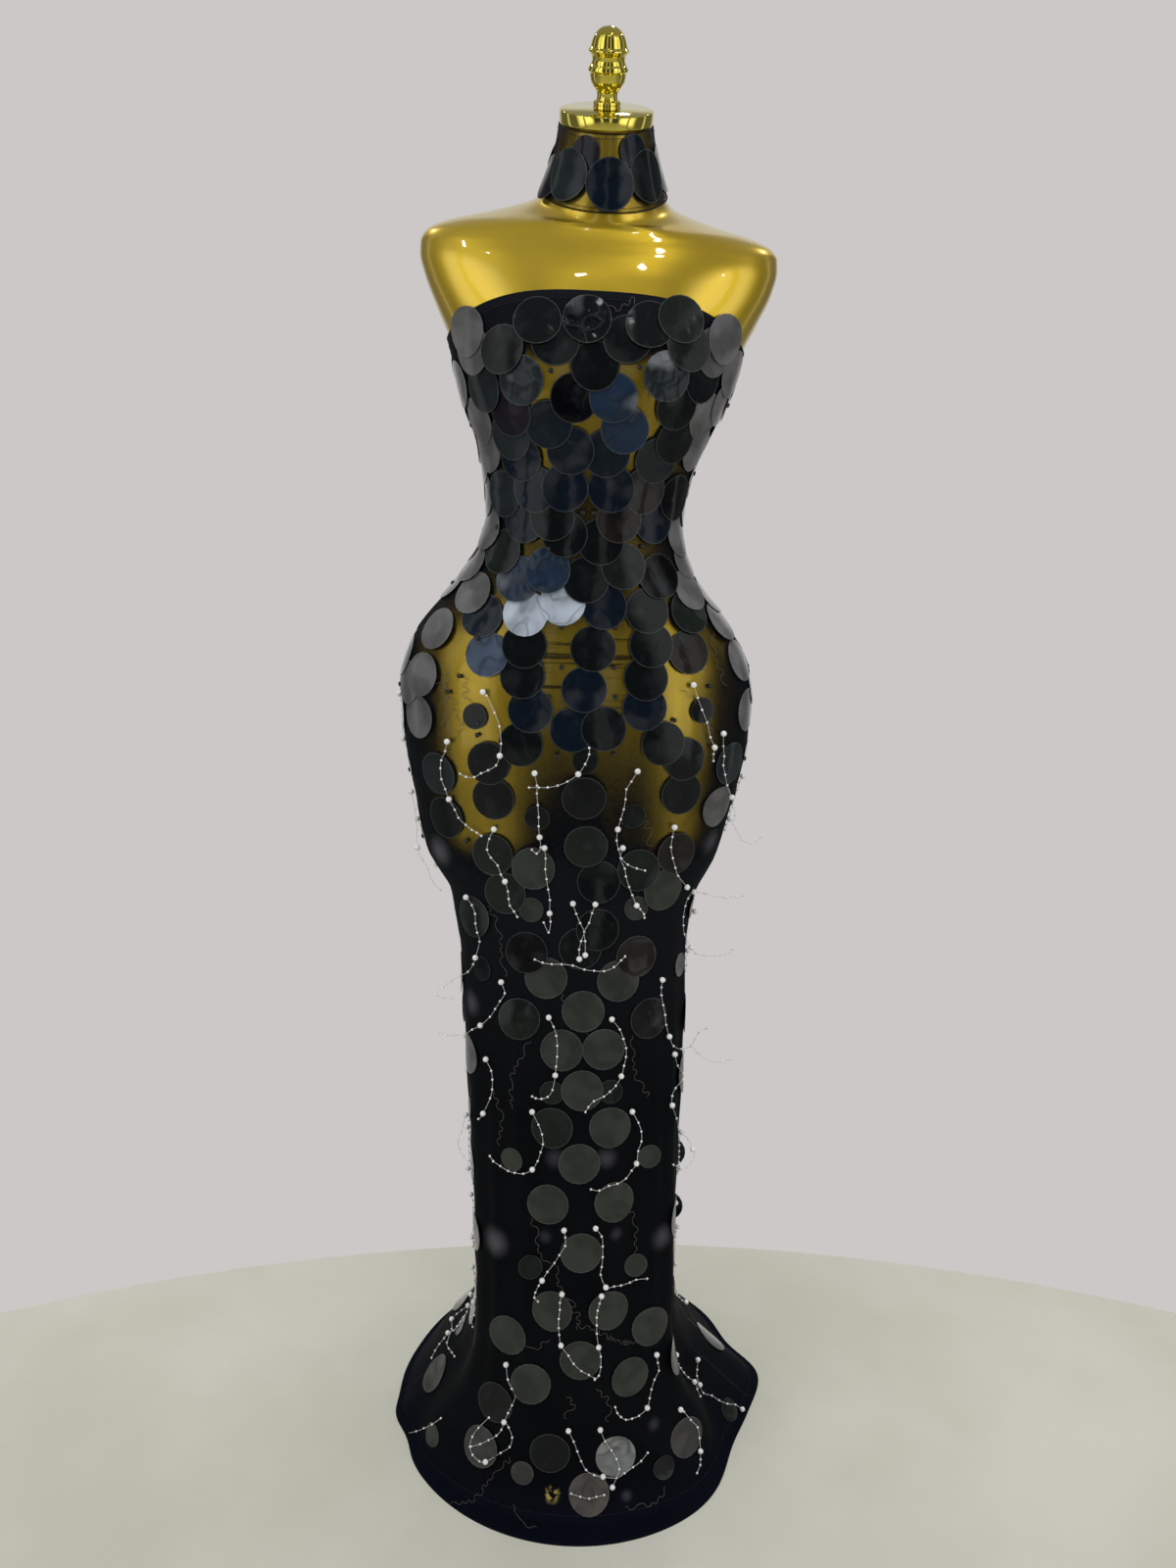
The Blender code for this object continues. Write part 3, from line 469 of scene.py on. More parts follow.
class Finish(Board):
    """One Principled material."""

    def __init__(self, name, **fixed):
        self.material = bpy.data.materials.new(name)
        self.material.use_nodes = True
        super().__init__(self.material.node_tree)
        self.shader = self.tree.nodes["Principled BSDF"]
        for socket, value in fixed.items():
            self.shader.inputs[socket.replace("_", " ")].default_value = value

    def to(self, **links):
        """Feed sockets of the shader."""
        for name, value in links.items():
            self.put(self.shader.inputs[name.replace("_", " ")], value)
        return self

    def place(self):
        return self.add("TexCoord", {}, {}, "Object")

    def chart(self):
        return self.add("UVMap", {"uv_map": "chart"}, {})

    def own_color(self, take):
        """The colour that a piece carries at its points, or its fourth number."""
        return self.add("Attribute", {"attribute_name": "tone"}, {}, take)

    def edge_on(self, blend):
        """0 where the surface faces the eye, and towards 1 where it is seen side-on."""
        return self.add("LayerWeight", {}, {"Blend": blend}, "Facing")

    def from_spot(self, place, px, py):
        """Distance from the cloth under a pixel."""
        spot = tuple(cloth(*seen_at(px, py)))
        return self.add("VectorMath", {"operation": "DISTANCE"}, {0: place, 1: spot}, "Value")

    def bump(self, height, distance, strength=1.0):
        return self.add("Bump", {}, {"Height": height, "Distance": distance, "Strength": strength})


# Soft pale patches where light comes back through the mesh.
Glow = namedtuple("Glow", "px py size strength")
GLOWS = [Glow(*row) for row in (
    (448, 868, 0.026, 0.30), (726, 858, 0.022, 0.20), (481, 1023, 0.022, 0.22), (504, 1267, 0.026, 0.30),
    (676, 1262, 0.022, 0.22), (567, 1182, 0.018, 0.12), (619, 1182, 0.018, 0.16), (556, 1262, 0.012, 0.10),
    (629, 1259, 0.012, 0.12), (667, 1453, 0.012, 0.12), (639, 1526, 0.010, 0.14))]
PAINTED_FOOT_GLINT = (563, 1525)      # pixel of a painted gold glint on the hem, which stands for a polished foot seen through it
HIP_ASIDE = 0.022            # how far the hips' middle lies to the left
NET_SCALE = 520.0            # cells of the knit for each metre

# How much the mesh hides, by height. What a row adds changes from `before` to `after` between its
# two heights: closed below the thighs, closer at the waist, sheerer on the bust, nearly closed along
# the top edge, and sheer again on the neck.
Cover = namedtuple("Cover", "from_height to_height before after")
COVERS = [Cover(*row) for row in (
    (0.865, 0.785, 0.12, 0.90), (1.09, 1.16, 0.0, 0.28), (1.24, 1.31, 0.0, -0.30),
    (1.385, 1.405, 0.0, 0.40), (1.49, 1.53, 0.0, -0.41))]


def black_mesh():
    """Sheer knitted mesh, closer and darker on the skirt and where it is seen side-on.

    What it hides is a sum: a share for the height, more between the legs, on the flanks and where
    it is seen side-on, thin tension lines over the belly, and some unevenness of the knitting. The
    cells of the knit are open in their middles, and the hem and the top edge are double.
    """
    made = Finish("black_mesh", Roughness=0.7, Specular_IOR_Level=0.06)
    place, chart = made.place(), made.chart()
    sideways, _, height = made.parts(place)
    aside, flank = abs(sideways), abs(sideways + HIP_ASIDE)
    along = made.parts(chart)[1]
    cloud = made.noise(place, 9.0, 4.0)
    streak = made.noise(made.stretched(place, 60.0, 60.0, 5.0), 1.0, 3.0)
    between = aside.fade(0.11, 0.04) * height.fade(1.06, 0.86, 0.05, 0.45)
    flanks = flank.fade(0.125, 0.18, 0.0, 0.34) * height.fade(1.10, 1.03)
    tension = made.noise(made.stretched(place, 9.0, 9.0, 270.0), 1.0, 1.0).fade(0.55, 0.66)
    tension = tension * aside.fade(0.085, 0.05) * height.fade(1.000, 1.025) * height.fade(1.110, 1.090)
    cover = sum(height.fade(*row) for row in COVERS) + between + flanks + tension * 0.26
    cover = cover + made.edge_on(0.32) * 0.75 + (streak - 0.5) * 0.14 + (cloud - 0.5) * 0.08
    doubled = along.fade(0.060, 0.026, 0.0, 0.30) + along.fade(0.0100, 0.0085, 0.0, 0.15)
    cells = made.add("TexVoronoi", {"feature": "DISTANCE_TO_EDGE"},
                     {"Vector": chart, "Scale": NET_SCALE}, "Distance")
    net = cells.fade(0.02, 0.34, 1.12, 0.88)
    tint = made.blend(cloud.fade(0.35, 0.7), display(6, 8, 12), display(10, 12, 16))
    tint = made.blend(height.fade(0.50, 0.80, 0.0, 0.75), tint, display(20, 23, 28))
    tint = made.blend(height.fade(0.05, 0.012, 0.0, 0.6), tint, display(9, 12, 25))
    for glow in GLOWS:
        near = made.from_spot(place, glow.px, glow.py).fade(glow.size, 0.0, 0.0, glow.strength)
        tint = made.blend(near, tint, display(150, 150, 156))
    # Painted highlight: a speckled gold glint in the mesh colour near the hem, standing for a polished foot
    # seen through the cloth.
    foot = made.from_spot(place, *PAINTED_FOOT_GLINT).fade(0.013, 0.003, 0.0, 0.9)
    glint_speckle = made.noise(place, 170.0, 2.0).fade(0.44, 0.56)
    tint = made.blend(foot * glint_speckle, tint, display(190, 172, 92))
    made.to(Base_Color=tint, Alpha=made.add("Clamp", {}, {0: cover * net + doubled}),
            Normal=made.bump(net * 0.4 + streak * 0.6 + tension, 0.0004, 0.5))
    return made.material


def gold_lacquer():
    """Gold paint under clear lacquer, with fine metal flakes and slow waves in the spray."""
    made = Finish("gold_lacquer", Metallic=0.9, Coat_Weight=0.8, Coat_Roughness=0.03, Coat_IOR=1.5)
    place = made.place()
    cloud = made.noise(place, 5.0, 3.0)
    flakes = made.noise(place, 900.0, 1.0)
    color = made.blend(cloud.fade(0.3, 0.7), display(211, 177, 37), display(224, 191, 50))
    color = made.blend(flakes.fade(0.55, 0.8, 0.0, 0.25), color, display(230, 212, 90))
    made.to(Base_Color=color, Roughness=cloud.fade(0.2, 0.8, 0.27, 0.34),
            Normal=made.bump(cloud + flakes * 0.03, 0.0015, 0.35))
    return made.material


def polished_brass():
    """Mirror brass with a faint haze of wiping marks."""
    made = Finish("polished_brass", Metallic=1.0, Coat_Weight=0.15, Coat_Roughness=0.03)
    place = made.place()
    cloud = made.noise(place, 22.0, 3.0)
    wiping = made.noise(made.stretched(place, 30.0, 30.0, 900.0), 1.0, 2.0)
    color = made.blend(cloud.fade(0.3, 0.75), display(214, 196, 78), display(226, 210, 96))
    made.to(Base_Color=color, Roughness=wiping.fade(0.3, 0.8, 0.02, 0.06) + cloud * 0.03,
            Normal=made.bump(wiping, 0.00008, 0.4))
    return made.material


def paillette_film():
    """Thin glossy plastic film: a paler rim, a slight haze, a few scuffs and soft buckles.

    Each layer is laid over the disc's own colour in turn. The buckles are folds where a noise
    crosses its middle, each fold line darkened by painted shade, and they and a painted shine
    in paler patches follow the disc's own crinkle. A painted reflection turns discs that aren't
    black pale grey where they are seen side-on.
    """
    made = Finish("paillette_film", Coat_Weight=0.08, Coat_Roughness=0.03, Coat_IOR=1.45,
                  Specular_IOR_Level=0.14)
    place = made.place()
    across, down, _ = made.parts(made.chart())
    from_middle = (across * across + down * down) ** 0.5
    own, crinkle = made.own_color("Color"), made.own_color("Alpha")
    cloud = made.noise(place, 30.0, 1.0, 0.5)
    scuff = made.noise(place, 420.0, 4.0, 0.7)
    smear = made.noise(made.stretched(place, 70.0, 70.0, 45.0), 1.0, 4.0, 0.6)
    fold = abs(made.noise(place, 34.0, 1.0, 0.5) - 0.5).fade(0.0, 0.11)
    not_black = made.parts(own)[1].fade(0.001, 0.0035)
    color = own
    for share, layer in (
            (cloud.fade(0.35, 0.7, 0.0, 0.5), (0.003, 0.0035, 0.004)),
            (smear.fade(0.52, 0.75, 0.0, 0.22), (0.035, 0.043, 0.050)),
            # painted shade: darker along the fold lines of the buckles
            (fold.fade(0.35, 0.0, 0.0, 0.75) * crinkle, (0.02, 0.025, 0.03)),
            # painted shine: paler patches on crinkled discs
            (cloud.fade(0.55, 0.75, 0.0, 0.6) * crinkle, made.blend(0.5, own, (0.5, 0.54, 0.58))),
            (scuff.fade(0.62, 0.9, 0.0, 0.05), (0.25, 0.27, 0.28)),
            (from_middle.fade(0.93, 0.985, 0.0, 0.10), (0.42, 0.44, 0.42)),
            # painted reflection: pale grey where a disc that isn't black is seen side-on
            (made.edge_on(0.5).fade(0.60, 0.92, 0.0, 0.8) * not_black, (0.30, 0.30, 0.31))):
        color = made.blend(share, color, layer)
    made.to(Base_Color=color, Roughness=cloud.fade(0.3, 0.75, 0.05, 0.12) + scuff * 0.03,
            Normal=made.bump((cloud - fold * 0.25) * crinkle, 0.009, 0.5))
    return made.material


def plain_gloss(name, color, other, roughness, scale, depth, coat=0.4):
    """A small hard or spun thing: two close shades in a fine mottle, and a fine bump."""
    made = Finish(name, Coat_Weight=coat, Coat_Roughness=0.05)
    place = made.place()
    mottle = made.noise(place, scale, 3.0)
    made.to(Base_Color=made.blend(mottle.fade(0.3, 0.7), display(*color), display(*other)),
            Roughness=mottle.fade(0.3, 0.7, roughness, roughness * 1.4),
            Normal=made.bump(mottle, depth, 0.5))
    return made.material


def floor_finish():
    """Pale stone tone with slow clouds and a soft gloss."""
    made = Finish("pale_floor", Specular_IOR_Level=0.35)
    cloud = made.noise(made.place(), 2.2, 4.0)
    made.to(Base_Color=made.blend(cloud.fade(0.35, 0.7), display(200, 200, 184), display(212, 211, 198)),
            Roughness=cloud.fade(0.3, 0.7, 0.30, 0.38))
    return made.material


# ------------------------------------------------------------------ meshes
def put_mesh(name, points, faces, finish, chart=None, tones=None, sharp=None):
    """A mesh piece from points, index rows and a material.

    The chart becomes a UV map, the tones a colour at each point, and edges sharper than so many
    degrees stay sharp.
    """
    mesh = bpy.data.meshes.new(name)
    mesh.from_pydata(np.asarray(points).reshape(-1, 3).tolist(), [], faces)
    corner = np.empty(len(mesh.loops), int)
    mesh.loops.foreach_get("vertex_index", corner)
    if chart is not None:
        layer = mesh.uv_layers.new(name="chart")
        layer.data.foreach_set("uv", np.asarray(chart, np.float32).reshape(-1, 2)[corner].ravel())
    if tones is not None:
        layer = mesh.color_attributes.new("tone", "FLOAT_COLOR", "POINT")
        layer.data.foreach_set("color", np.asarray(tones, np.float32).ravel())
    mesh.materials.append(finish)
    mesh.shade_smooth()
    if sharp is not None:
        mesh.set_sharp_from_angle(angle=math.radians(sharp))
    made = bpy.data.objects.new(name, mesh)
    bpy.context.scene.collection.objects.link(made)
    return made


def worn(made, slot=None, *nodes):
    """A piece of the object: it rides on the one body, and may stand for nodes. Its slot is not used."""
    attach(made, "root")
    if nodes:
        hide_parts(*nodes)
    return made


def grid_faces(rows, columns, closed, start=0):
    """Quads between neighbouring points of a grid, written as index rows."""
    row = np.arange(rows - 1)[:, None]
    column = np.arange(columns if closed else columns - 1)[None, :]
    following = (column + 1) % columns
    corners = [row * columns + column, row * columns + following,
               (row + 1) * columns + following, (row + 1) * columns + column]
    return start + np.stack(corners, axis=-1).reshape(-1, 4)


def closed_wall(name, outside, inside, chart, finish):
    """A closed wall between two grids of points, whose rows run down and columns run round."""
    rows, columns = outside.shape[:2]
    count = rows * columns
    outer = grid_faces(rows, columns, closed=False)[:, ::-1]
    inner = grid_faces(rows, columns, closed=False, start=count)
    number = np.arange(count).reshape(rows, columns)
    border = np.concatenate([number[0, :-1], number[:-1, -1], number[-1, :0:-1], number[:0:-1, 0]])
    following = np.roll(border, -1)
    rim = np.stack([border, following, following + count, border + count], axis=-1)
    faces = np.concatenate([outer, inner, rim]).tolist()
    return put_mesh(name, np.stack([outside, inside]), faces, finish, np.stack([chart, chart]))


def skinned(name, rings, finish):
    """A solid through closed rings of points, from the top down, with a fan over each end."""
    rows, columns = rings.shape[:2]
    faces = grid_faces(rows, columns, closed=True)[:, ::-1].tolist()
    first, last = rows * columns, rows * columns + 1
    column = np.arange(columns)
    following = (column + 1) % columns
    faces += np.stack([np.full(columns, first), column, following], axis=1).tolist()
    base = (rows - 1) * columns
    faces += np.stack([np.full(columns, last), base + following, base + column], axis=1).tolist()
    points = np.concatenate([rings.reshape(-1, 3), rings[:1].mean(axis=1), rings[-1:].mean(axis=1)])
    return put_mesh(name, points, faces, finish, sharp=50)


def tube_rings(path, out, radius, sides):
    """Rings of points round a path: a circle in the plane of its side and outward directions."""
    tangent = unit(np.gradient(path, axis=0))
    side = unit(np.cross(tangent, out))
    out = np.cross(side, tangent)
    turn = np.linspace(0.0, math.tau, sides, endpoint=False)[None, :, None]
    return path[:, None] + radius * (np.cos(turn) * out[:, None] + np.sin(turn) * side[:, None])


def tubes(name, paths, radius, sides, finish):
    """Many thin closed tubes as one mesh. Each path is a pair of arrays: points and outward ways."""
    points, faces, start = [], [], 0
    for path, out in paths:
        rings = tube_rings(path, out, radius, sides)
        rows = len(rings)
        points.append(rings.reshape(-1, 3))
        faces += grid_faces(rows, sides, closed=True, start=start).tolist()
        faces.append(list(range(start + sides - 1, start - 1, -1)))
        faces.append(list(range(start + (rows - 1) * sides, start + rows * sides)))
        start += rows * sides
    return put_mesh(name, np.concatenate(points), faces, finish)


def ball(columns, rows):
    """Points and faces of a unit ball: rings of points between two poles."""
    down = np.linspace(0.0, math.pi, rows + 1)[1:-1, None]
    turn = np.linspace(0.0, math.tau, columns, endpoint=False)[None, :]
    ring = np.stack([np.sin(down) * np.cos(turn), np.sin(down) * np.sin(turn),
                     np.cos(down) + 0.0 * turn], axis=-1).reshape(-1, 3)
    points = np.concatenate([ring, [[0, 0, 1.0], [0, 0, -1.0]]])
    faces = grid_faces(rows - 1, columns, closed=True)[:, ::-1].tolist()
    top, bottom, base = len(ring), len(ring) + 1, (rows - 2) * columns
    for column in range(columns):
        after = (column + 1) % columns
        faces.append([top, column, after])
        faces.append([bottom, base + after, base + column])
    return points, faces


def scattered(name, shape, places, axes, sizes, finish):
    """Copies of one small shape as one mesh. axes are each copy's sideways, up and outward ways."""
    points, faces = shape
    side, up, out = axes
    scaled = points[None] * sizes[:, None, :]
    spread = (places[:, None] + scaled[..., 0:1] * side[:, None] + scaled[..., 1:2] * up[:, None]
              + scaled[..., 2:3] * out[:, None])
    step = len(points)
    every = [[corner + step * number for corner in face] for number in range(len(places))
             for face in faces]
    return put_mesh(name, spread, every, finish)


# ------------------------------------------------------------------ finding places on the cloth
CHART_ANGLES = np.radians(np.linspace(-180.0, 180.0, 361))
CHART_LENGTHS = np.linspace(LENGTHS[0], LENGTHS[-1], 330)
CHART = cloth(CHART_LENGTHS[:, None], CHART_ANGLES[None, :])
CHART_FACES = grid_faces(len(CHART_LENGTHS), len(CHART_ANGLES), closed=False)
CHART_TREE = BVHTree.FromPolygons(CHART.reshape(-1, 3).tolist(), CHART_FACES.tolist())
MIDDLE_COLUMN = 600.0        # the picture column that a pixel beyond the cloth is moved towards
SIDE_STEP, SIDE_STEPS = 1.5, 60
BEYOND = 6.0                 # from the camera to a place well behind the gown


def ray_of(px, py):
    """Direction in which the camera sees a pixel."""
    half_width, half_height = PICTURE_WIDTH / 2, PICTURE_HEIGHT / 2
    way = Vector(((px - half_width) / FOCAL_PIXELS, (half_height - py) / FOCAL_PIXELS, -1.0))
    return (CAMERA_TURN @ way).normalized()


def met(start, way):
    """Length and angle of the cloth that a ray meets first, or None if it misses the cloth."""
    place, _, face, _ = CHART_TREE.ray_cast(start, way)
    if place is None:
        return None
    row, column = divmod(face, len(CHART_ANGLES) - 1)
    corner = CHART[row, column]
    right, below = CHART[row, column + 1] - corner, CHART[row + 1, column] - corner
    step = np.array(place) - corner
    share_right, share_down = step @ right / (right @ right), step @ below / (below @ below)
    length = CHART_LENGTHS[row] + share_down * (CHART_LENGTHS[1] - CHART_LENGTHS[0])
    angle = CHART_ANGLES[column] + share_right * (CHART_ANGLES[1] - CHART_ANGLES[0])
    return length, angle


def seen_at(px, py):
    """Length and angle of the cloth under a pixel, or None beyond the cloth's outline."""
    return met(CAMERA_PLACE, ray_of(px, py))


def left_at(px, py):
    """Length and angle of the cloth's far side behind a pixel."""
    return met(CAMERA_PLACE + ray_of(px, py) * BEYOND, -ray_of(px, py))


def nearest_seen(px, py):
    """The cloth under a pixel, or under the first pixel on the way to the middle that shows some."""
    for step in range(SIDE_STEPS):
        found = seen_at(px + step * (SIDE_STEP if px < MIDDLE_COLUMN else -SIDE_STEP), py)
        if found:
            return found
    raise ValueError(f"no cloth near pixel {px}, {py}")


# ------------------------------------------------------------------ trimming tables
# Paillettes by the pixel of their middle. size is in millimetres across, and look is a row of FILMS.
# A swung one stands off the far side of the cloth, and its pixel is the sewn rim. The rest of the
# trimming, out of the camera's sight, follows SPREAD below.
Paillette = namedtuple("Paillette", "px py look size swung", defaults=("dark", 52, False))
Film = namedtuple("Film", "color crinkle")
# The 'edge' look is a painted reflection: pale grey for discs seen side-on at the outline. The 'pale' look
# is a painted reflection of the bright ceiling lamps in discs that face up.
FILMS = {
    "black": Film((4, 4, 5), 0.1), "dark": Film((13, 17, 17), 0.05), "navy": Film((13, 24, 36), 0.12),
    "blue": Film((34, 50, 70), 0.7), "grey": Film((36, 43, 44), 0.08), "edge": Film((110, 109, 109), 0.1),
    "brown": Film((30, 26, 21), 0.1), "green": Film((26, 33, 28), 0.1), "pale": Film((188, 199, 212), 0.45),
    "skirt": Film((58, 61, 55), 0.1), "wine": Film((30, 25, 33), 0.1), "creased": Film((34, 42, 44), 1.0),
    "folded": Film((10, 12, 13), 0.8), "ash": Film((72, 71, 69), 0.1), "taupe": Film((92, 88, 82), 0.3),
    "silver": Film((142, 144, 140), 0.6), "steel": Film((66, 80, 102), 0.7),
}
PAILLETTES = [Paillette(*row) for row in (
    (475, 338, "edge"), (481, 357, "edge"), (547, 326), (510, 355), (566, 347), (599, 325, "folded"),
    (641, 346), (664, 331), (697, 326, "green"), (704, 354), (741, 347, "edge"), (729, 360, "edge"),
    (607, 373, "dark"), (530, 388, "creased"), (492, 396, "grey"), (586, 406, "black"), (626, 406, "blue"),
    (682, 384, "creased"), (718, 387), (692, 415), (520, 421, "wine"), (559, 433, "navy"),
    (638, 439, "blue"), (520, 445, "grey"), (582, 460, "navy"), (619, 463, "navy"), (671, 470, "grey"),
    (530, 467, "navy"), (690, 450), (513, 504, "grey"), (545, 499, "navy"), (576, 498, "navy"),
    (624, 499, "navy"), (658, 501, "brown"), (690, 508, "black"), (535, 530, "navy"), (563, 528),
    (632, 530, "brown"), (668, 531, "navy"), (576, 545), (613, 553), (512, 563, "green"),
    (528, 591, "blue"), (559, 582, "blue"), (598, 592), (636, 578, "green"), (673, 588, "black"),
    (492, 628, "navy"), (536, 626, "pale"), (574, 615, "pale"), (616, 619, "navy"), (660, 623),
    (702, 624, "green"), (469, 392, "edge"), (489, 429, "edge"), (498, 458, "edge"), (501, 540, "edge"),
    (484, 575, "edge"), (482, 605, "edge"), (446, 641, "edge"), (429, 688, "edge"), (426, 731, "edge"),
    (446, 789, "grey"), (454, 834, "dark"), (416, 696, "edge"), (747, 382, "edge"), (737, 412, "edge"),
    (720, 425, "edge"), (710, 458, "edge"), (691, 545, "edge"), (697, 569, "edge"), (704, 601, "edge"),
    (734, 634, "edge"), (755, 673, "edge"), (762, 724, "edge"), (746, 779, "grey"), (733, 823, "edge"),
    (497, 668, "steel"), (535, 659), (605, 662), (664, 658), (703, 665, "brown"), (533, 690),
    (596, 704, "navy"), (659, 692), (541, 725, "navy"), (658, 723, "navy"), (484, 731, "dark", 30),
    (717, 725, "black", 30), (584, 745, "navy"), (616, 744, "dark"), (531, 760), (677, 759),
    (597, 777, "dark", 30), (498, 779), (699, 775), (503, 815), (596, 815), (696, 810),
    (548, 835, "dark", 30), (646, 833, "dark", 30), (502, 872, "green"), (598, 864, "green"),
    (691, 871, "brown"), (544, 886, "skirt"), (652, 888, "green"), (514, 911, "green"), (611, 900, "dark"),
    (677, 909, "skirt"), (541, 928, "skirt", 30), (650, 927, "skirt", 30), (482, 935, "green"), (610, 949),
    (592, 968, "dark"), (537, 972, "black"), (650, 976, "brown"), (693, 984, "edge", 30),
    (491, 988, "dark", 30), (557, 998, "skirt"), (631, 1001, "skirt"), (529, 1040, "green"),
    (595, 1032, "skirt"), (663, 1039, "black"), (573, 1072, "skirt"), (616, 1071, "skirt"),
    (478, 1074, "edge"), (563, 1115, "green", 30), (594, 1113, "skirt"), (623, 1114, "green", 30),
    (563, 1151, "green"), (623, 1151, "skirt"), (591, 1188, "skirt"), (522, 1183, "skirt", 30),
    (663, 1180, "skirt", 30), (559, 1229, "skirt"), (628, 1227, "skirt"), (662, 1174, "black", 52, True),
    (660, 1229, "black", 52, True), (593, 1279, "skirt"), (541, 1293, "green", 30),
    (649, 1291, "skirt", 30), (563, 1338, "skirt"), (622, 1338, "skirt"), (518, 1362, "skirt"),
    (665, 1354, "skirt"), (592, 1388, "skirt"), (541, 1413, "skirt"), (643, 1405, "skirt"),
    (444, 1402, "ash"), (471, 1352, "dark", 30), (505, 1431, "dark"), (490, 1477, "ash"),
    (441, 1465, "skirt", 30), (561, 1483, "dark"), (533, 1503, "ash", 30), (628, 1486, "silver"),
    (601, 1524, "taupe"), (700, 1466, "ash"), (743, 1439, "green", 30), (677, 1497, "dark", 30),
    (724, 1364, "dark"), (623, 188, "navy"), (578, 178, "grey"), (662, 180), (597, 155, "wine", 32),
    (647, 154, "navy", 32), (560, 181, "black", 46))]

Stud = namedtuple("Stud", "px py")
STUDS = [Stud(*at) for at in (
    (562, 378), (653, 375), (595, 523), (606, 523), (573, 640), (628, 640), (510, 538), (655, 557),
    (573, 681), (626, 681), (488, 738), (487, 750), (688, 735), (569, 771), (626, 770), (476, 858),
    (469, 690), (457, 706), (553, 678), (560, 560), (489, 652), (628, 711), (560, 711), (724, 700))]

# Pearl strands by the pixel of every pearl. A big pearl is 7.5 mm across, a small one 3 mm.
Pearl = namedtuple("Pearl", "px py big")


def strand(*pearls):
    """A strand's pearls in order; a third number marks a big one."""
    return [Pearl(pearl[0], pearl[1], len(pearl) == 3) for pearl in pearls]


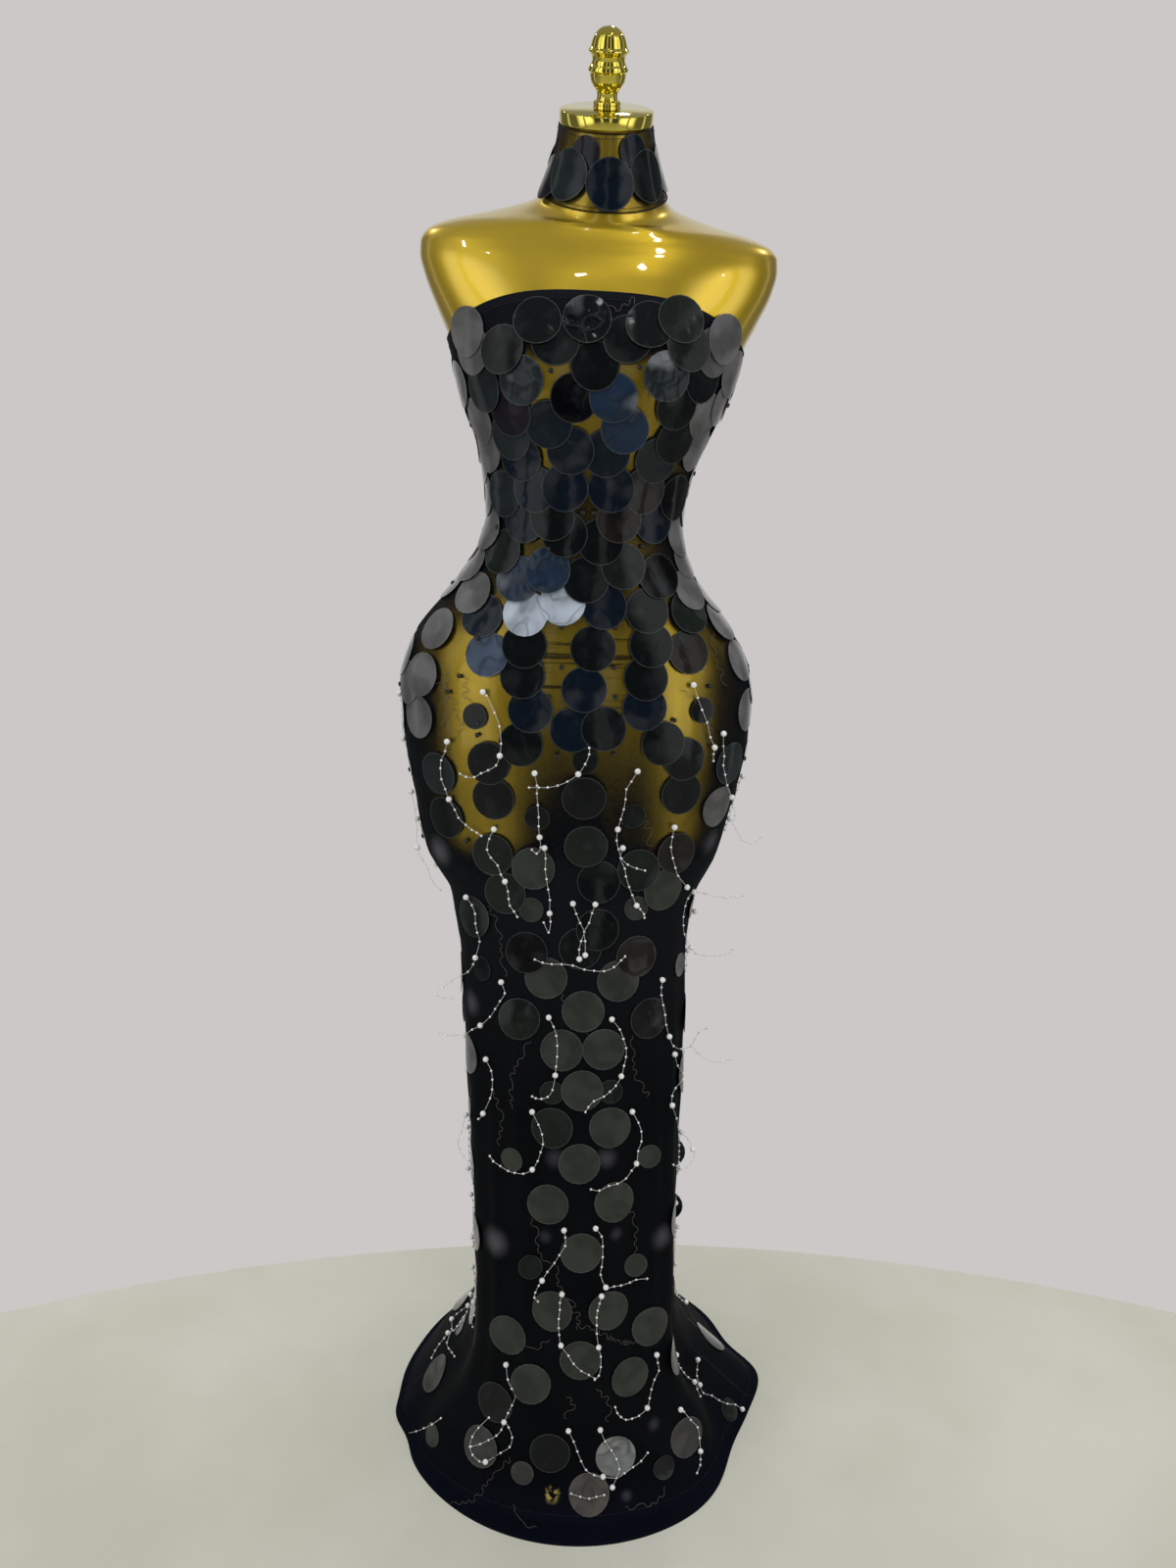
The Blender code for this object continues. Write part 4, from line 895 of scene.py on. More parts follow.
STRANDS = [
    strand((494, 706, 1), (497, 710), (505, 727), (510, 741), (512, 758), (511, 770, 1), (507, 780),
           (499, 785), (492, 788), (485, 792), (476, 792), (470, 789)),
    strand((458, 756, 1), (455, 766), (452, 775), (451, 783), (452, 794), (456, 804), (460, 814, 1),
           (466, 825), (470, 833), (476, 841), (482, 846), (487, 849), (492, 852)),
    strand((546, 788, 1), (548, 801), (548, 809), (549, 821), (550, 833), (550, 842), (551, 853, 1),
           (552, 864), (548, 870), (543, 866)),
    strand((540, 803), (550, 803), (559, 803), (569, 801), (579, 797), (590, 789, 1), (597, 779),
           (601, 769), (601, 762)),
    strand((706, 699, 1), (711, 712), (715, 724), (720, 737), (724, 752), (727, 762, 1), (727, 769),
           (727, 776)),
    strand((736, 748, 1), (737, 761), (737, 771), (736, 780), (737, 789), (739, 800), (743, 812, 1),
           (747, 823), (749, 831), (747, 840), (756, 856), (765, 860), (771, 857), (776, 853)),
    strand((650, 786, 1), (644, 797), (639, 805), (638, 815), (636, 825), (633, 835), (630, 845, 1),
           (629, 857), (631, 866), (634, 875), (640, 881), (649, 885), (657, 887)),
    strand((635, 864, 1), (633, 875), (637, 885), (638, 893), (641, 904), (645, 913), (649, 923, 1),
           (653, 927), (656, 932), (657, 936)),
    strand((505, 845, 1), (500, 855), (498, 866), (502, 874), (509, 882), (512, 891), (516, 898, 1),
           (518, 908), (519, 916), (521, 923), (525, 929), (528, 935)),
    strand((556, 864, 1), (557, 875), (557, 886), (558, 896), (559, 907), (561, 918), (561, 931, 1),
           (562, 940), (560, 951), (555, 941)),
    strand((478, 913, 1), (483, 922), (487, 931), (488, 941), (490, 950), (490, 960), (488, 976, 1),
           (485, 983), (479, 991), (470, 996), (461, 1001), (453, 1008), (446, 1014), (454, 1018),
           (462, 1018)),
    strand((584, 921, 1), (588, 932), (592, 941), (596, 950), (593, 959), (591, 968), (591, 977, 1)),
    strand((607, 921, 1), (604, 931), (601, 941), (596, 950), (597, 959), (597, 973, 1)),
    strand((546, 978), (554, 981), (563, 983), (573, 983), (584, 984), (596, 988), (606, 990),
           (616, 990), (626, 986), (633, 979), (637, 975)),
    strand((687, 843, 1), (685, 853), (683, 863), (685, 874), (687, 884), (691, 893), (699, 904, 1)),
    strand((706, 908, 1), (718, 911), (728, 914), (739, 915), (750, 914), (758, 913)),
    strand((706, 908), (701, 916), (698, 924), (696, 935), (696, 944), (697, 953), (702, 966, 1),
           (709, 973), (719, 975), (729, 975), (739, 974), (747, 968)),
    strand((513, 1001, 1), (516, 1013), (511, 1021), (506, 1029), (501, 1037), (492, 1045, 1),
           (483, 1050), (475, 1055), (463, 1056), (456, 1056), (448, 1053)),
    strand((498, 1080, 1), (502, 1092), (503, 1101), (503, 1111), (501, 1120), (495, 1135, 1),
           (489, 1141), (480, 1143)),
    strand((480, 1137, 1), (472, 1155), (469, 1163), (470, 1172), (474, 1179), (481, 1187)),
    strand((560, 1037, 1), (565, 1047), (568, 1056), (569, 1066), (569, 1077), (568, 1087),
           (567, 1096, 1), (564, 1111), (559, 1118), (553, 1120), (547, 1120), (543, 1118)),
    strand((624, 1039, 1), (632, 1050), (635, 1059), (638, 1069), (638, 1078), (636, 1087),
           (633, 1097, 1), (628, 1107), (622, 1113), (616, 1118), (606, 1122), (600, 1128),
           (597, 1133)),
    strand((674, 999, 1), (674, 1007), (674, 1015), (675, 1025), (677, 1035), (678, 1045),
           (681, 1057, 1), (686, 1067), (694, 1070), (704, 1067), (708, 1059), (712, 1053),
           (720, 1049)),
    strand((704, 1067), (710, 1074), (718, 1080), (726, 1083), (736, 1083), (745, 1081)),
    strand((686, 1075, 1), (690, 1087), (693, 1094), (692, 1101), (688, 1110), (685, 1118),
           (684, 1127, 1), (689, 1141), (691, 1150), (695, 1157), (701, 1162), (704, 1172, 1),
           (708, 1174), (705, 1184), (700, 1191), (694, 1192), (686, 1188)),
    strand((543, 1133, 1), (550, 1146), (554, 1156), (555, 1166), (552, 1175), (549, 1184),
           (543, 1192, 1), (534, 1197), (526, 1196), (519, 1194), (511, 1189), (504, 1184),
           (501, 1179)),
    strand((644, 1133, 1), (651, 1145), (654, 1154), (654, 1164), (651, 1174), (649, 1186, 1),
           (644, 1194), (638, 1202), (629, 1207), (621, 1209), (612, 1213), (603, 1213)),
    strand((576, 1254, 1), (577, 1262), (577, 1270), (571, 1280), (566, 1288), (559, 1297),
           (554, 1305, 1), (550, 1311), (546, 1318), (545, 1323), (549, 1326)),
    strand((608, 1252, 1), (614, 1261), (615, 1271), (615, 1282), (614, 1292), (613, 1300),
           (618, 1312, 1), (626, 1312), (633, 1311), (642, 1308), (649, 1305), (660, 1304)),
    strand((574, 1319, 1), (572, 1328), (572, 1335), (571, 1344), (571, 1353), (571, 1361),
           (573, 1371, 1), (580, 1382), (585, 1390), (593, 1397), (601, 1401), (607, 1406)),
    strand((614, 1320, 1), (612, 1328), (610, 1335), (609, 1342), (609, 1350), (609, 1360),
           (611, 1373, 1), (613, 1383), (613, 1394), (611, 1403), (607, 1407)),
    strand((483, 1322, 1), (484, 1334), (484, 1344), (484, 1354)),
    strand((478, 1334), (472, 1338), (467, 1342), (463, 1348, 1), (462, 1357),
           (457, 1371), (459, 1377), (462, 1381), (465, 1385)),
    strand((518, 1391, 1), (522, 1404), (526, 1413), (527, 1423), (524, 1433), (520, 1441),
           (517, 1450, 1), (513, 1459), (508, 1465), (501, 1469), (493, 1473), (484, 1475)),
    strand((517, 1450), (520, 1456), (523, 1466), (521, 1476), (512, 1482), (499, 1488, 1),
           (492, 1488), (486, 1483), (483, 1475), (485, 1465), (490, 1456), (501, 1445)),
    strand((668, 1381, 1), (670, 1390), (671, 1398), (667, 1407), (664, 1417), (662, 1426),
           (659, 1435, 1), (651, 1444), (644, 1447), (638, 1448), (633, 1445), (629, 1441),
           (627, 1435)),
    strand((580, 1458, 1), (585, 1470), (589, 1480), (593, 1490), (598, 1499), (606, 1504),
           (615, 1505, 1), (628, 1506), (636, 1501), (645, 1496), (653, 1490), (660, 1481)),
    strand((612, 1457, 1), (617, 1469), (623, 1478), (628, 1487), (631, 1497), (628, 1506),
           (624, 1516, 1)),
    strand((583, 1523), (592, 1526), (601, 1528), (608, 1526), (616, 1524)),
    strand((417, 1464, 1), (426, 1461), (434, 1458), (443, 1454), (451, 1448)),
    strand((709, 1389, 1), (710, 1398), (709, 1405), (711, 1414, 1), (716, 1422), (724, 1425),
           (732, 1429), (740, 1433), (748, 1434), (755, 1439, 1), (761, 1441)),
    strand((692, 1437, 1), (696, 1440), (703, 1448), (709, 1456), (712, 1466), (712, 1480, 1),
           (713, 1489), (713, 1495), (710, 1503)),
    strand((423, 807, 1), (425, 825), (427, 846), (429, 864, 1), (432, 876), (438, 886), (442, 898),
           (451, 908)),
]

# Fancy thread that wriggles between the two pixels of each row.
Wriggle = namedtuple("Wriggle", "px py to_px to_py")
WRIGGLES = [Wriggle(*row) for row in (
    (444, 675, 470, 740), (462, 680, 452, 745), (480, 690, 470, 752), (722, 645, 738, 700),
    (498, 924, 519, 996), (505, 1110, 512, 1170), (570, 1000, 600, 1060), (538, 1245, 560, 1290),
    (537, 1375, 563, 1372), (580, 1425, 582, 1447), (520, 1540, 545, 1560), (640, 1545, 680, 1520),
    (619, 311, 652, 312), (585, 700, 560, 730), (640, 1230, 655, 1285), (655, 840, 668, 860),
    (700, 700, 728, 745), (640, 1060, 660, 1120), (535, 1060, 520, 1130), (570, 1291, 587, 1356),
    (587, 1356, 659, 1370), (461, 1534, 523, 1491), (613, 1416, 624, 1450))]

# How the hidden sides are trimmed: below each height, the space between paillettes, the share of
# small ones, and the films to choose from.
Spread = namedtuple("Spread", "height space small films")
SPREAD = [
    Spread(1.46, 0.034, 0.00, ("dark", "dark", "grey", "navy", "black", "dark", "green")),
    Spread(1.12, 0.037, 0.05, ("dark", "navy", "dark", "blue", "brown", "grey", "black")),
    Spread(0.97, 0.044, 0.20, ("dark", "dark", "green", "brown", "navy", "grey")),
    Spread(0.83, 0.054, 0.30, ("skirt", "green", "skirt", "dark", "skirt", "black")),
    Spread(0.60, 0.064, 0.30, ("skirt", "skirt", "green", "skirt", "dark")),
    Spread(0.30, 0.072, 0.35, ("skirt", "ash", "green", "skirt", "dark")),
]

# Discs on the hidden side of the neck band, all at one height.
BandDisc = namedtuple("BandDisc", "degrees look")
BAND_DISCS = [BandDisc(-5, "grey"), BandDisc(38, "navy"), BandDisc(88, "dark"), BandDisc(140, "blue")]
BAND_DISCS_AT = 1.596

# Sizes of the trimming, metres.
BEAD_STEP = 0.0093           # from pearl to pearl along a strand
BIG_PEARL, SMALL_PEARL = 0.0037, 0.00155     # radii
STUD_RADIUS, STUD_RISE = 0.0030, 0.0016
THREAD_RADIUS, FANCY_RADIUS, STITCH_RADIUS, EDGE_RADIUS = 0.00032, 0.00030, 0.00028, 0.00055
BIG_DISC, SMALL_DISC, BAND_DISC = 0.026, 0.015, 0.0245     # radii where no row gives one
DISC_THICK = 0.0003
DISC_RING = 0.62             # share of the radius at which a disc has its inner ring of points
DISC_AIR = 0.0006            # between a disc and what it lies on
DISC_BEND = 0.85             # how much of the cloth's own bend a disc takes
MOST_BEND = 9.0
DISC_SADDLE = 0.3            # spread of the slight saddle that each disc has besides
SWUNG_BEND = 0.03            # how much of that bend a swung disc keeps
NEIGHBOUR_AIR = 0.004        # discs further apart than this, rim to rim, don't touch
FACING_ENOUGH = 0.5          # discs that face further apart than this don't lie on each other
MOST_RISE = 0.03             # a disc that would lift another one further than this isn't in its way
TOP_EDGE_WEIGHT, ROLL_WEIGHT = 0.5, 0.002    # of the sewn edge's height and of a roll, when seating
OVER_DISC = 0.0007           # between a paillette and what hangs over it
RIM_MARGIN, NEAR_DISC = 0.001, 0.02          # what hangs this far past a rim, or off a disc, crosses it
STUD_SEAT, PEARL_SEAT, FANCY_SEAT = 0.0009, 0.0004, 0.0004     # how far each stands off the cloth
FANCY_WAVE, FANCY_WANDER, FANCY_FORTH = 0.0150, 0.0050, 0.0010
FANCY_SWING_HIP, FANCY_SWING_SKIRT, HIP_FROM = 0.0052, 0.0034, 0.85
SQUARE_ENOUGH = 0.45         # how squarely a disc faces the camera to be lifted straight towards it
HIDDEN_BELOW = 0.10          # how squarely the cloth may face the camera and be out of its sight
RUN_APART, RUN_LENGTH, RUN_ASIDE = 0.11, 0.06, 0.025       # of the fancy thread on the hidden sides
SKIRT_RADIUS = 0.13          # turns a run's way aside into an angle

# Sizes of the cloth pieces and their sewing, metres. A stitch is its length and the space after it.
DROP_FADES_OVER = 0.15       # length of cloth over which the dip of the top edge fades
CHART_RADIUS = 0.16          # turns an angle round the gown into metres on its chart
BAND_CHART_TOP = 0.060       # the band's chart starts below the edge that black_mesh doubles
EDGE_IN = 0.0006             # a rolled edge's middle, inside the cloth's own edge
EDGE_SUNK, RIDGE_UP = -0.0003, 0.0001        # how high a rolled edge and a seam's ridge lie on the cloth
TOP_STITCHES_AT, BAND_STITCHES_AT, SEAM_STITCHES_AT = 0.0085, 0.004, 0.0022
STITCH_RISE = 0.0003
PANEL_ROWS, PANEL_COLUMNS, BAND_ROWS = 215, 161, 25
ROWS_DRAWN_DOWN = 0.08       # how much closer a panel's rows are on the flare
UPRIGHT_FROM, LYING_BELOW = 0.006, 0.002     # heights of cloth that doesn't yet lie, and that does
FINE_STITCH, HEM_STITCH, SEAM_STITCH = (0.0026, 0.0012), (0.0034, 0.0016), (0.0028, 0.0016)


# ------------------------------------------------------------------ trimming
def spread_for(height):
    """The SPREAD row that a height falls in."""
    below = [row for row in SPREAD if height <= row.height]
    return below[-1] if below else SPREAD[0]


def faces_camera(length, angle):
    """How squarely the cloth at a place faces the camera, from -1 to 1."""
    way = unit(np.array(CAMERA_PLACE) - cloth(length, angle))
    return (way * cloth_axes(length, angle)[2]).sum(axis=-1)


def scatter_hidden(spacing_of, tries, seed, top, bottom, kept_places=()):
    """Throw places on the cloth out of the camera's sight, and keep those far enough from the rest.

    The space asked for comes from the height. Lengths and angles are both spread evenly, and it is
    the space that thins the places out where the body is narrow.
    """
    chance = np.random.default_rng(seed)
    length = chance.uniform(length_at(top), length_at(bottom), tries)
    angle = chance.uniform(-math.pi, math.pi, tries)
    dip = soft_step((length_at(DROP_FADES_AT) - length) / DROP_FADES_OVER)
    length = length + top_edge_drop(angle) * dip
    hidden = faces_camera(length, angle) < HIDDEN_BELOW
    length, angle = length[hidden], angle[hidden]
    taken = [np.array(place) for place in kept_places]
    chosen = []
    for number, (point, height) in enumerate(zip(cloth(length, angle), height_of(length))):
        if not taken or np.min(np.linalg.norm(np.array(taken) - point, axis=1)) >= spacing_of(height):
            taken.append(point)
            chosen.append(number)
    return length[chosen], angle[chosen]


def top_edge_drop(angle):
    """How far the gown's top edge lies below the middle of its front."""
    towards_side = np.abs(np.cos(angle)) ** DROP_POWER
    return SIDE_DROP * np.where(np.sin(angle) < 0, towards_side, 1.0)


def paillette_places():
    """Length, angle, radius, film and swing of every paillette, seen ones first."""
    found = np.array([left_at(row.px, row.py) if row.swung else nearest_seen(row.px, row.py)
                      for row in PAILLETTES])
    looks = [row.look for row in PAILLETTES]
    hidden = scatter_hidden(lambda height: spread_for(height).space, tries=9000, seed=7, top=1.440,
                            bottom=0.03, kept_places=cloth(*found.T))
    chance = np.random.default_rng(11)
    rows = [spread_for(height) for height in height_of(hidden[0])]
    small = np.array([chance.random() < row.small for row in rows])
    looks += [row.films[chance.integers(len(row.films))] for row in rows]
    looks += [row.look for row in BAND_DISCS]
    behind = len(BAND_DISCS)
    length = np.concatenate([found[:, 0], hidden[0], np.full(behind, length_at(BAND_DISCS_AT))])
    angle = np.concatenate([found[:, 1], hidden[1], np.radians([row.degrees for row in BAND_DISCS])])
    radius = np.concatenate([[row.size / 2000 for row in PAILLETTES],
                             np.where(small, SMALL_DISC, BIG_DISC), np.full(behind, BAND_DISC)])
    swung = np.array([row.swung for row in PAILLETTES] + [False] * (len(small) + behind))
    return length, angle, radius, [FILMS[look] for look in looks], swung


# Every paillette's middle, radius, three ways and bend, as one array each.
Discs = namedtuple("Discs", "centre radius side up out bend")


def bowed(bend, x, y):
    """Height of a bent disc over its own plane: bend_xx x^2 + bend_xy x y + bend_yy y^2."""
    return bend[..., 0] * x * x + bend[..., 1] * x * y + bend[..., 2] * y * y


def disc_points(discs, number, share, turn):
    """Points of one disc, or of several, at shares of the radius and turns round the middle."""
    radius = discs.radius[number][..., None]
    x, y = share * np.cos(turn) * radius, share * np.sin(turn) * radius
    z = bowed(discs.bend[number][..., None, :], x, y)
    return (discs.centre[number][..., None, :] + x[..., None] * discs.side[number][..., None, :]
            + y[..., None] * discs.up[number][..., None, :] + z[..., None] * discs.out[number][..., None, :])


def height_over(discs, number, points):
    """How far points are over a disc's bent surface, and whether they are within its rim."""
    apart = points - discs.centre[number]
    x, y = apart @ discs.side[number], apart @ discs.up[number]
    above = apart @ discs.out[number] - bowed(discs.bend[number], x, y)
    return above, np.hypot(x, y) < discs.radius[number]


# Samples of a disc, as shares of its radius and turns, and the leans and rolls that are tried.
DISC_SHARE = np.concatenate([np.full(24, 1.0), np.full(20, 0.74), np.full(12, 0.42), [0.0]])
DISC_TURN = np.concatenate([np.linspace(0.0, math.tau, count, endpoint=False) for count in (24, 20, 12)]
                           + [[0.0]])
LEANS = np.tan(np.radians(np.linspace(1.5, 12.0, 15)))[:, None, None]
ROLLS = np.tan(np.radians(np.linspace(-7.0, 7.0, 13)))[None, :, None]


def settle(discs, number, earlier, ground, way, x, y):
    """Seat one disc over the cloth and the earlier discs, by leaning and rolling it before lifting it.

    The ground is how high the cloth stands under each sample. Each earlier disc raises it where it
    lies. Of all the LEANS and ROLLS, the pair is taken that keeps the disc's middle and its sewn
    top edge lowest, when it is lifted until every sample clears the ground.
    """
    side, up, out, foot = (row[number].copy() for row in (discs.side, discs.up, discs.out, discs.centre))
    lift = 0.0
    bow = bowed(discs.bend[number], x, y)
    for _ in range(2):
        base = foot + x[:, None] * side + y[:, None] * up + (way - out) * lift
        need = ground + DISC_AIR
        for other in earlier:
            facing = discs.out[other] @ out
            if facing < FACING_ENOUGH:
                continue
            rise = np.zeros(len(x))
            for _ in range(3):
                over, inside = height_over(discs, other, base + rise[:, None] * out)
                rise = rise - over / facing
            need = np.where(inside & (rise < MOST_RISE), np.maximum(need, rise + DISC_AIR), need)
        lifts = (need - (bow - y * LEANS + x * ROLLS)).max(axis=2)
        top_edge = lifts - discs.radius[number] * LEANS[..., 0]
        cost = lifts + TOP_EDGE_WEIGHT * top_edge + ROLL_WEIGHT * np.abs(ROLLS[..., 0])
        row, column = np.unravel_index(np.argmin(cost), cost.shape)
        lift = lifts[row, column]
    lean, roll = np.arctan(LEANS[row, 0, 0]), np.arctan(ROLLS[0, column, 0])
    up, out = up * np.cos(lean) - out * np.sin(lean), out * np.cos(lean) + up * np.sin(lean)
    discs.side[number] = side * np.cos(roll) + out * np.sin(roll)
    discs.out[number] = out * np.cos(roll) - side * np.sin(roll)
    discs.up[number] = up
    discs.centre[number] = foot + way * lift


def laid_discs(length, angle, radius):
    """Discs laid on the cloth, with the places of their samples and how high the cloth is there.

    A disc takes most of the cloth's own bend, as a quadratic fitted to the cloth under it, and a
    slight saddle makes each differ.
    """
    chance = np.random.default_rng(5)
    foot, (side, up, out) = cloth(length, angle), cloth_axes(length, angle)
    x = DISC_SHARE * np.cos(DISC_TURN) * radius[:, None]
    y = DISC_SHARE * np.sin(DISC_TURN) * radius[:, None]
    under = cloth(length[:, None] - y, angle[:, None] + x / round_radius(length, angle)[:, None])
    ground = ((under - foot[:, None]) * out[:, None]).sum(axis=-1)
    terms = np.stack([x * x, x * y, y * y], axis=-1)
    bend = np.stack([np.linalg.lstsq(term, high, rcond=None)[0] for term, high in zip(terms, ground)])
    saddle, twist = chance.normal(0.0, DISC_SADDLE, (2, len(length)))
    bend = DISC_BEND * np.clip(bend, -MOST_BEND, MOST_BEND) + np.stack([saddle, twist, -saddle], axis=-1)
    return Discs(foot, radius, side, up, out, bend), x, y, ground


def swing_out(discs, swung, toward):
    """Stand the swung discs upright, nearly flat and square to the camera, beside their sewn rims."""
    level = unit(toward[swung] * np.array([1.0, 1.0, 0.0]))
    away = unit(np.cross([0.0, 0.0, 1.0], level))
    away = away * np.sign((away * discs.out[swung]).sum(axis=-1, keepdims=True))
    discs.out[swung], discs.side[swung], discs.up[swung] = level, away, np.cross(level, away)
    discs.centre[swung] += away * (discs.radius[swung] - DISC_THICK)[:, None]
    discs.bend[swung] *= SWUNG_BEND


def disc_mesh(discs, films, finish):
    """Thin closed discs: a fan and two rings of points in front, a rim, and a fan behind."""
    sides, count = 20, len(films)
    column = np.arange(sides)
    after = (column + 1) % sides
    turn = np.linspace(0.0, math.tau, sides, endpoint=False)
    front = disc_points(discs, np.arange(count), np.repeat([DISC_RING, 1.0], sides), np.tile(turn, 2))
    middle, thick = discs.centre[:, None], discs.out[:, None] * DISC_THICK
    points = np.concatenate([middle + thick, front + thick, front[:, sides:], middle], axis=1)
    inner, rim, under_rim, last = 1, 1 + sides, 1 + 2 * sides, 1 + 3 * sides
    quads = np.concatenate([
        np.stack([inner + column, rim + column, rim + after, inner + after], axis=1),
        np.stack([rim + column, under_rim + column, under_rim + after, rim + after], axis=1)])
    fans = np.concatenate([
        np.stack([0 * column, inner + column, inner + after], axis=1),
        np.stack([0 * column + last, under_rim + after, under_rim + column], axis=1)])
    step = points.shape[1] * np.arange(count)[:, None, None]
    faces = (quads[None] + step).reshape(-1, 4).tolist() + (fans[None] + step).reshape(-1, 3).tolist()
    share = np.concatenate([[0.0], np.repeat([DISC_RING, 1.0, 1.0], sides), [0.0]])
    where = np.concatenate([[0.0], np.tile(turn, 3), [0.0]])
    chart = np.tile(np.stack([share * np.cos(where), share * np.sin(where)], axis=-1), (count, 1))
    tones = np.repeat([(*display(*film.color), film.crinkle) for film in films], len(share), axis=0)
    return put_mesh("paillettes", points, faces, finish, chart, tones, sharp=40)


def paillettes(finish):
    """Every paillette as one mesh: thin discs, bent a little to the body and sewn on at their tops.

    They are settled from the lowest up, so that each lies over those below it. On the neck band
    that order is turned round. A disc that faces the camera is lifted towards it, and keeps its
    place in the picture.
    """
    length, angle, radius, films, swung = paillette_places()
    discs, x, y, ground = laid_discs(length, angle, radius)
    foot = discs.centre.copy()
    toward = unit(np.array(CAMERA_PLACE) - foot)
    square = (toward * discs.out).sum(axis=-1, keepdims=True)
    in_sight = (square > SQUARE_ENOUGH) & (np.arange(len(foot))[:, None] < len(PAILLETTES))
    way = np.where(in_sight, toward / np.maximum(square, SQUARE_ENOUGH), discs.out)
    swing_out(discs, swung, toward)
    placed = np.zeros(0, int)
    order = np.argsort(np.where(foot[:, 2] > BAND_FROM, 4.0 - foot[:, 2], foot[:, 2]))
    for number in order[~swung[order]]:
        apart = np.linalg.norm(foot[placed] - foot[number], axis=1)
        near = placed[apart < radius[placed] + radius[number] + NEIGHBOUR_AIR]
        settle(discs, number, near, ground[number], way[number], x[number], y[number])
        placed = np.append(placed, number)
    return disc_mesh(discs, films, finish), discs


def over_paillettes(points, ways, discs, clear):
    """Lift points along their outward ways until they clear every paillette that they cross."""
    apart = points[:, None] - discs.centre[None]
    x, y = (apart * discs.side[None]).sum(axis=-1), (apart * discs.up[None]).sum(axis=-1)
    above = (apart * discs.out[None]).sum(axis=-1) - bowed(discs.bend[None], x, y)
    crossing = (np.hypot(x, y) < discs.radius[None] + RIM_MARGIN) & (np.abs(above) < NEAR_DISC)
    need = np.maximum(np.where(crossing, clear + OVER_DISC - above, 0.0).max(axis=1), 0.0)
    return points + ways * need[:, None]


def hung_path(pearls):
    """Points and outward ways at a strand's pearls; beyond the outline they keep the last depth."""
    seen = [seen_at(pearl.px, pearl.py) for pearl in pearls]
    last = next(filter(None, seen), None) or nearest_seen(pearls[0].px, pearls[0].py)
    points, ways = [], []
    for pearl, found in zip(pearls, seen):
        last = found or last
        point = cloth(*last)
        if not found:
            depth = float(np.linalg.norm(point - np.array(CAMERA_PLACE)))
            point = np.array(CAMERA_PLACE + ray_of(pearl.px, pearl.py) * depth)
        points.append(point)
        ways.append(cloth_axes(*last)[2])
    return np.array(points), np.array(ways)


def smooth_line(points, steps):
    """A Catmull-Rom curve through points, with a number of steps between neighbours."""
    padded = np.concatenate([2 * points[:1] - points[1:2], points, 2 * points[-1:] - points[-2:-1]])
    t = np.linspace(0.0, 1.0, steps, endpoint=False)[None, :, None]
    a, b, c, d = (padded[k:len(padded) - 3 + k][:, None] for k in range(4))
    line = 0.5 * (2 * b + (c - a) * t + (2 * a - 5 * b + 4 * c - d) * t ** 2
                  + (3 * b - a - 3 * c + d) * t ** 3)
    return np.concatenate([line.reshape(-1, points.shape[1]), points[-1:]])


def hidden_strands():
    """Strands for the sides that the camera doesn't see, in the cloth's own two measures.

    A strand drops from its first pearl while it drifts sideways in a slow wave, and ends in a
    short hook.
    """
    chance = np.random.default_rng(23)
    length, angle = scatter_hidden(lambda height: 0.085 if height > 0.3 else 0.105, tries=2500, seed=29,
                                   top=1.02, bottom=0.09)
    made = []
    for start_length, start_angle in zip(length, angle):
        bead = np.arange(int(chance.integers(9, 14)))
        drift = chance.choice([-1.0, 1.0])
        wave = 0.25 * np.sin(bead * BEAD_STEP * 45.0 + chance.uniform(0, 6))
        heading = drift * (wave + 0.28 * np.maximum(bead - 6, 0))[1:]
        down, aside = (np.concatenate([[0.0], np.cumsum(part)]) * BEAD_STEP
                       for part in (np.cos(heading), np.sin(heading)))
        here = np.minimum(start_length + down, LENGTHS[-1] - 0.012)
        there = start_angle + aside / float(round_radius(start_length, start_angle))
        made.append((cloth(here, there), cloth_axes(here, there)[2], np.isin(bead, (0, 6))))
    return made


def pearl_strands(discs, pearl_finish, thread_finish):
    """All the pearls, big and small, and the thread that each strand is strung on."""
    strands = [(*hung_path(row), np.array([pearl.big for pearl in row])) for row in STRANDS]
    strands += hidden_strands()
    lines, places, outs, bigs = [], [], [], []
    for points, ways, big in strands:
        radius = np.where(big, BIG_PEARL, SMALL_PEARL)[:, None]
        points = over_paillettes(points + ways * (radius + PEARL_SEAT), ways, discs, radius)
        lines.append((smooth_line(points, 4), unit(smooth_line(ways, 4))))
        places.append(points)
        outs.append(ways)
        bigs.append(big)
    made = [tubes("pearl_thread", lines, THREAD_RADIUS, 5, thread_finish)]
    places, outs, bigs = np.concatenate(places), np.concatenate(outs), np.concatenate(bigs)
    for name, chosen, size, shape in (("big_pearls", bigs, BIG_PEARL, ball(10, 6)),
                                      ("small_pearls", ~bigs, SMALL_PEARL, ball(8, 5))):
        out = outs[chosen]
        side = unit(np.cross([0.0, 0.0, 1.0], out))
        axes = (side, np.cross(out, side), out)
        made.append(scattered(name, shape, places[chosen], axes, np.full(out.shape, size), pearl_finish))
    return made


def studs(discs, finish):
    """Low black domes pressed onto the cloth, in sight and on the hidden sides."""
    found = np.array([nearest_seen(row.px, row.py) for row in STUDS])
    more = scatter_hidden(lambda height: 0.06, tries=900, seed=41, top=1.42, bottom=0.80)
    length, angle = np.concatenate([found.T, more], axis=1)
    axes = cloth_axes(length, angle)
    places = over_paillettes(cloth(length, angle) + axes[2] * STUD_SEAT, axes[2], discs, 0.0)
    sizes = np.tile([STUD_RADIUS, STUD_RADIUS, STUD_RISE], (len(length), 1))
    return scattered("studs", ball(10, 5), places, axes, sizes, finish)


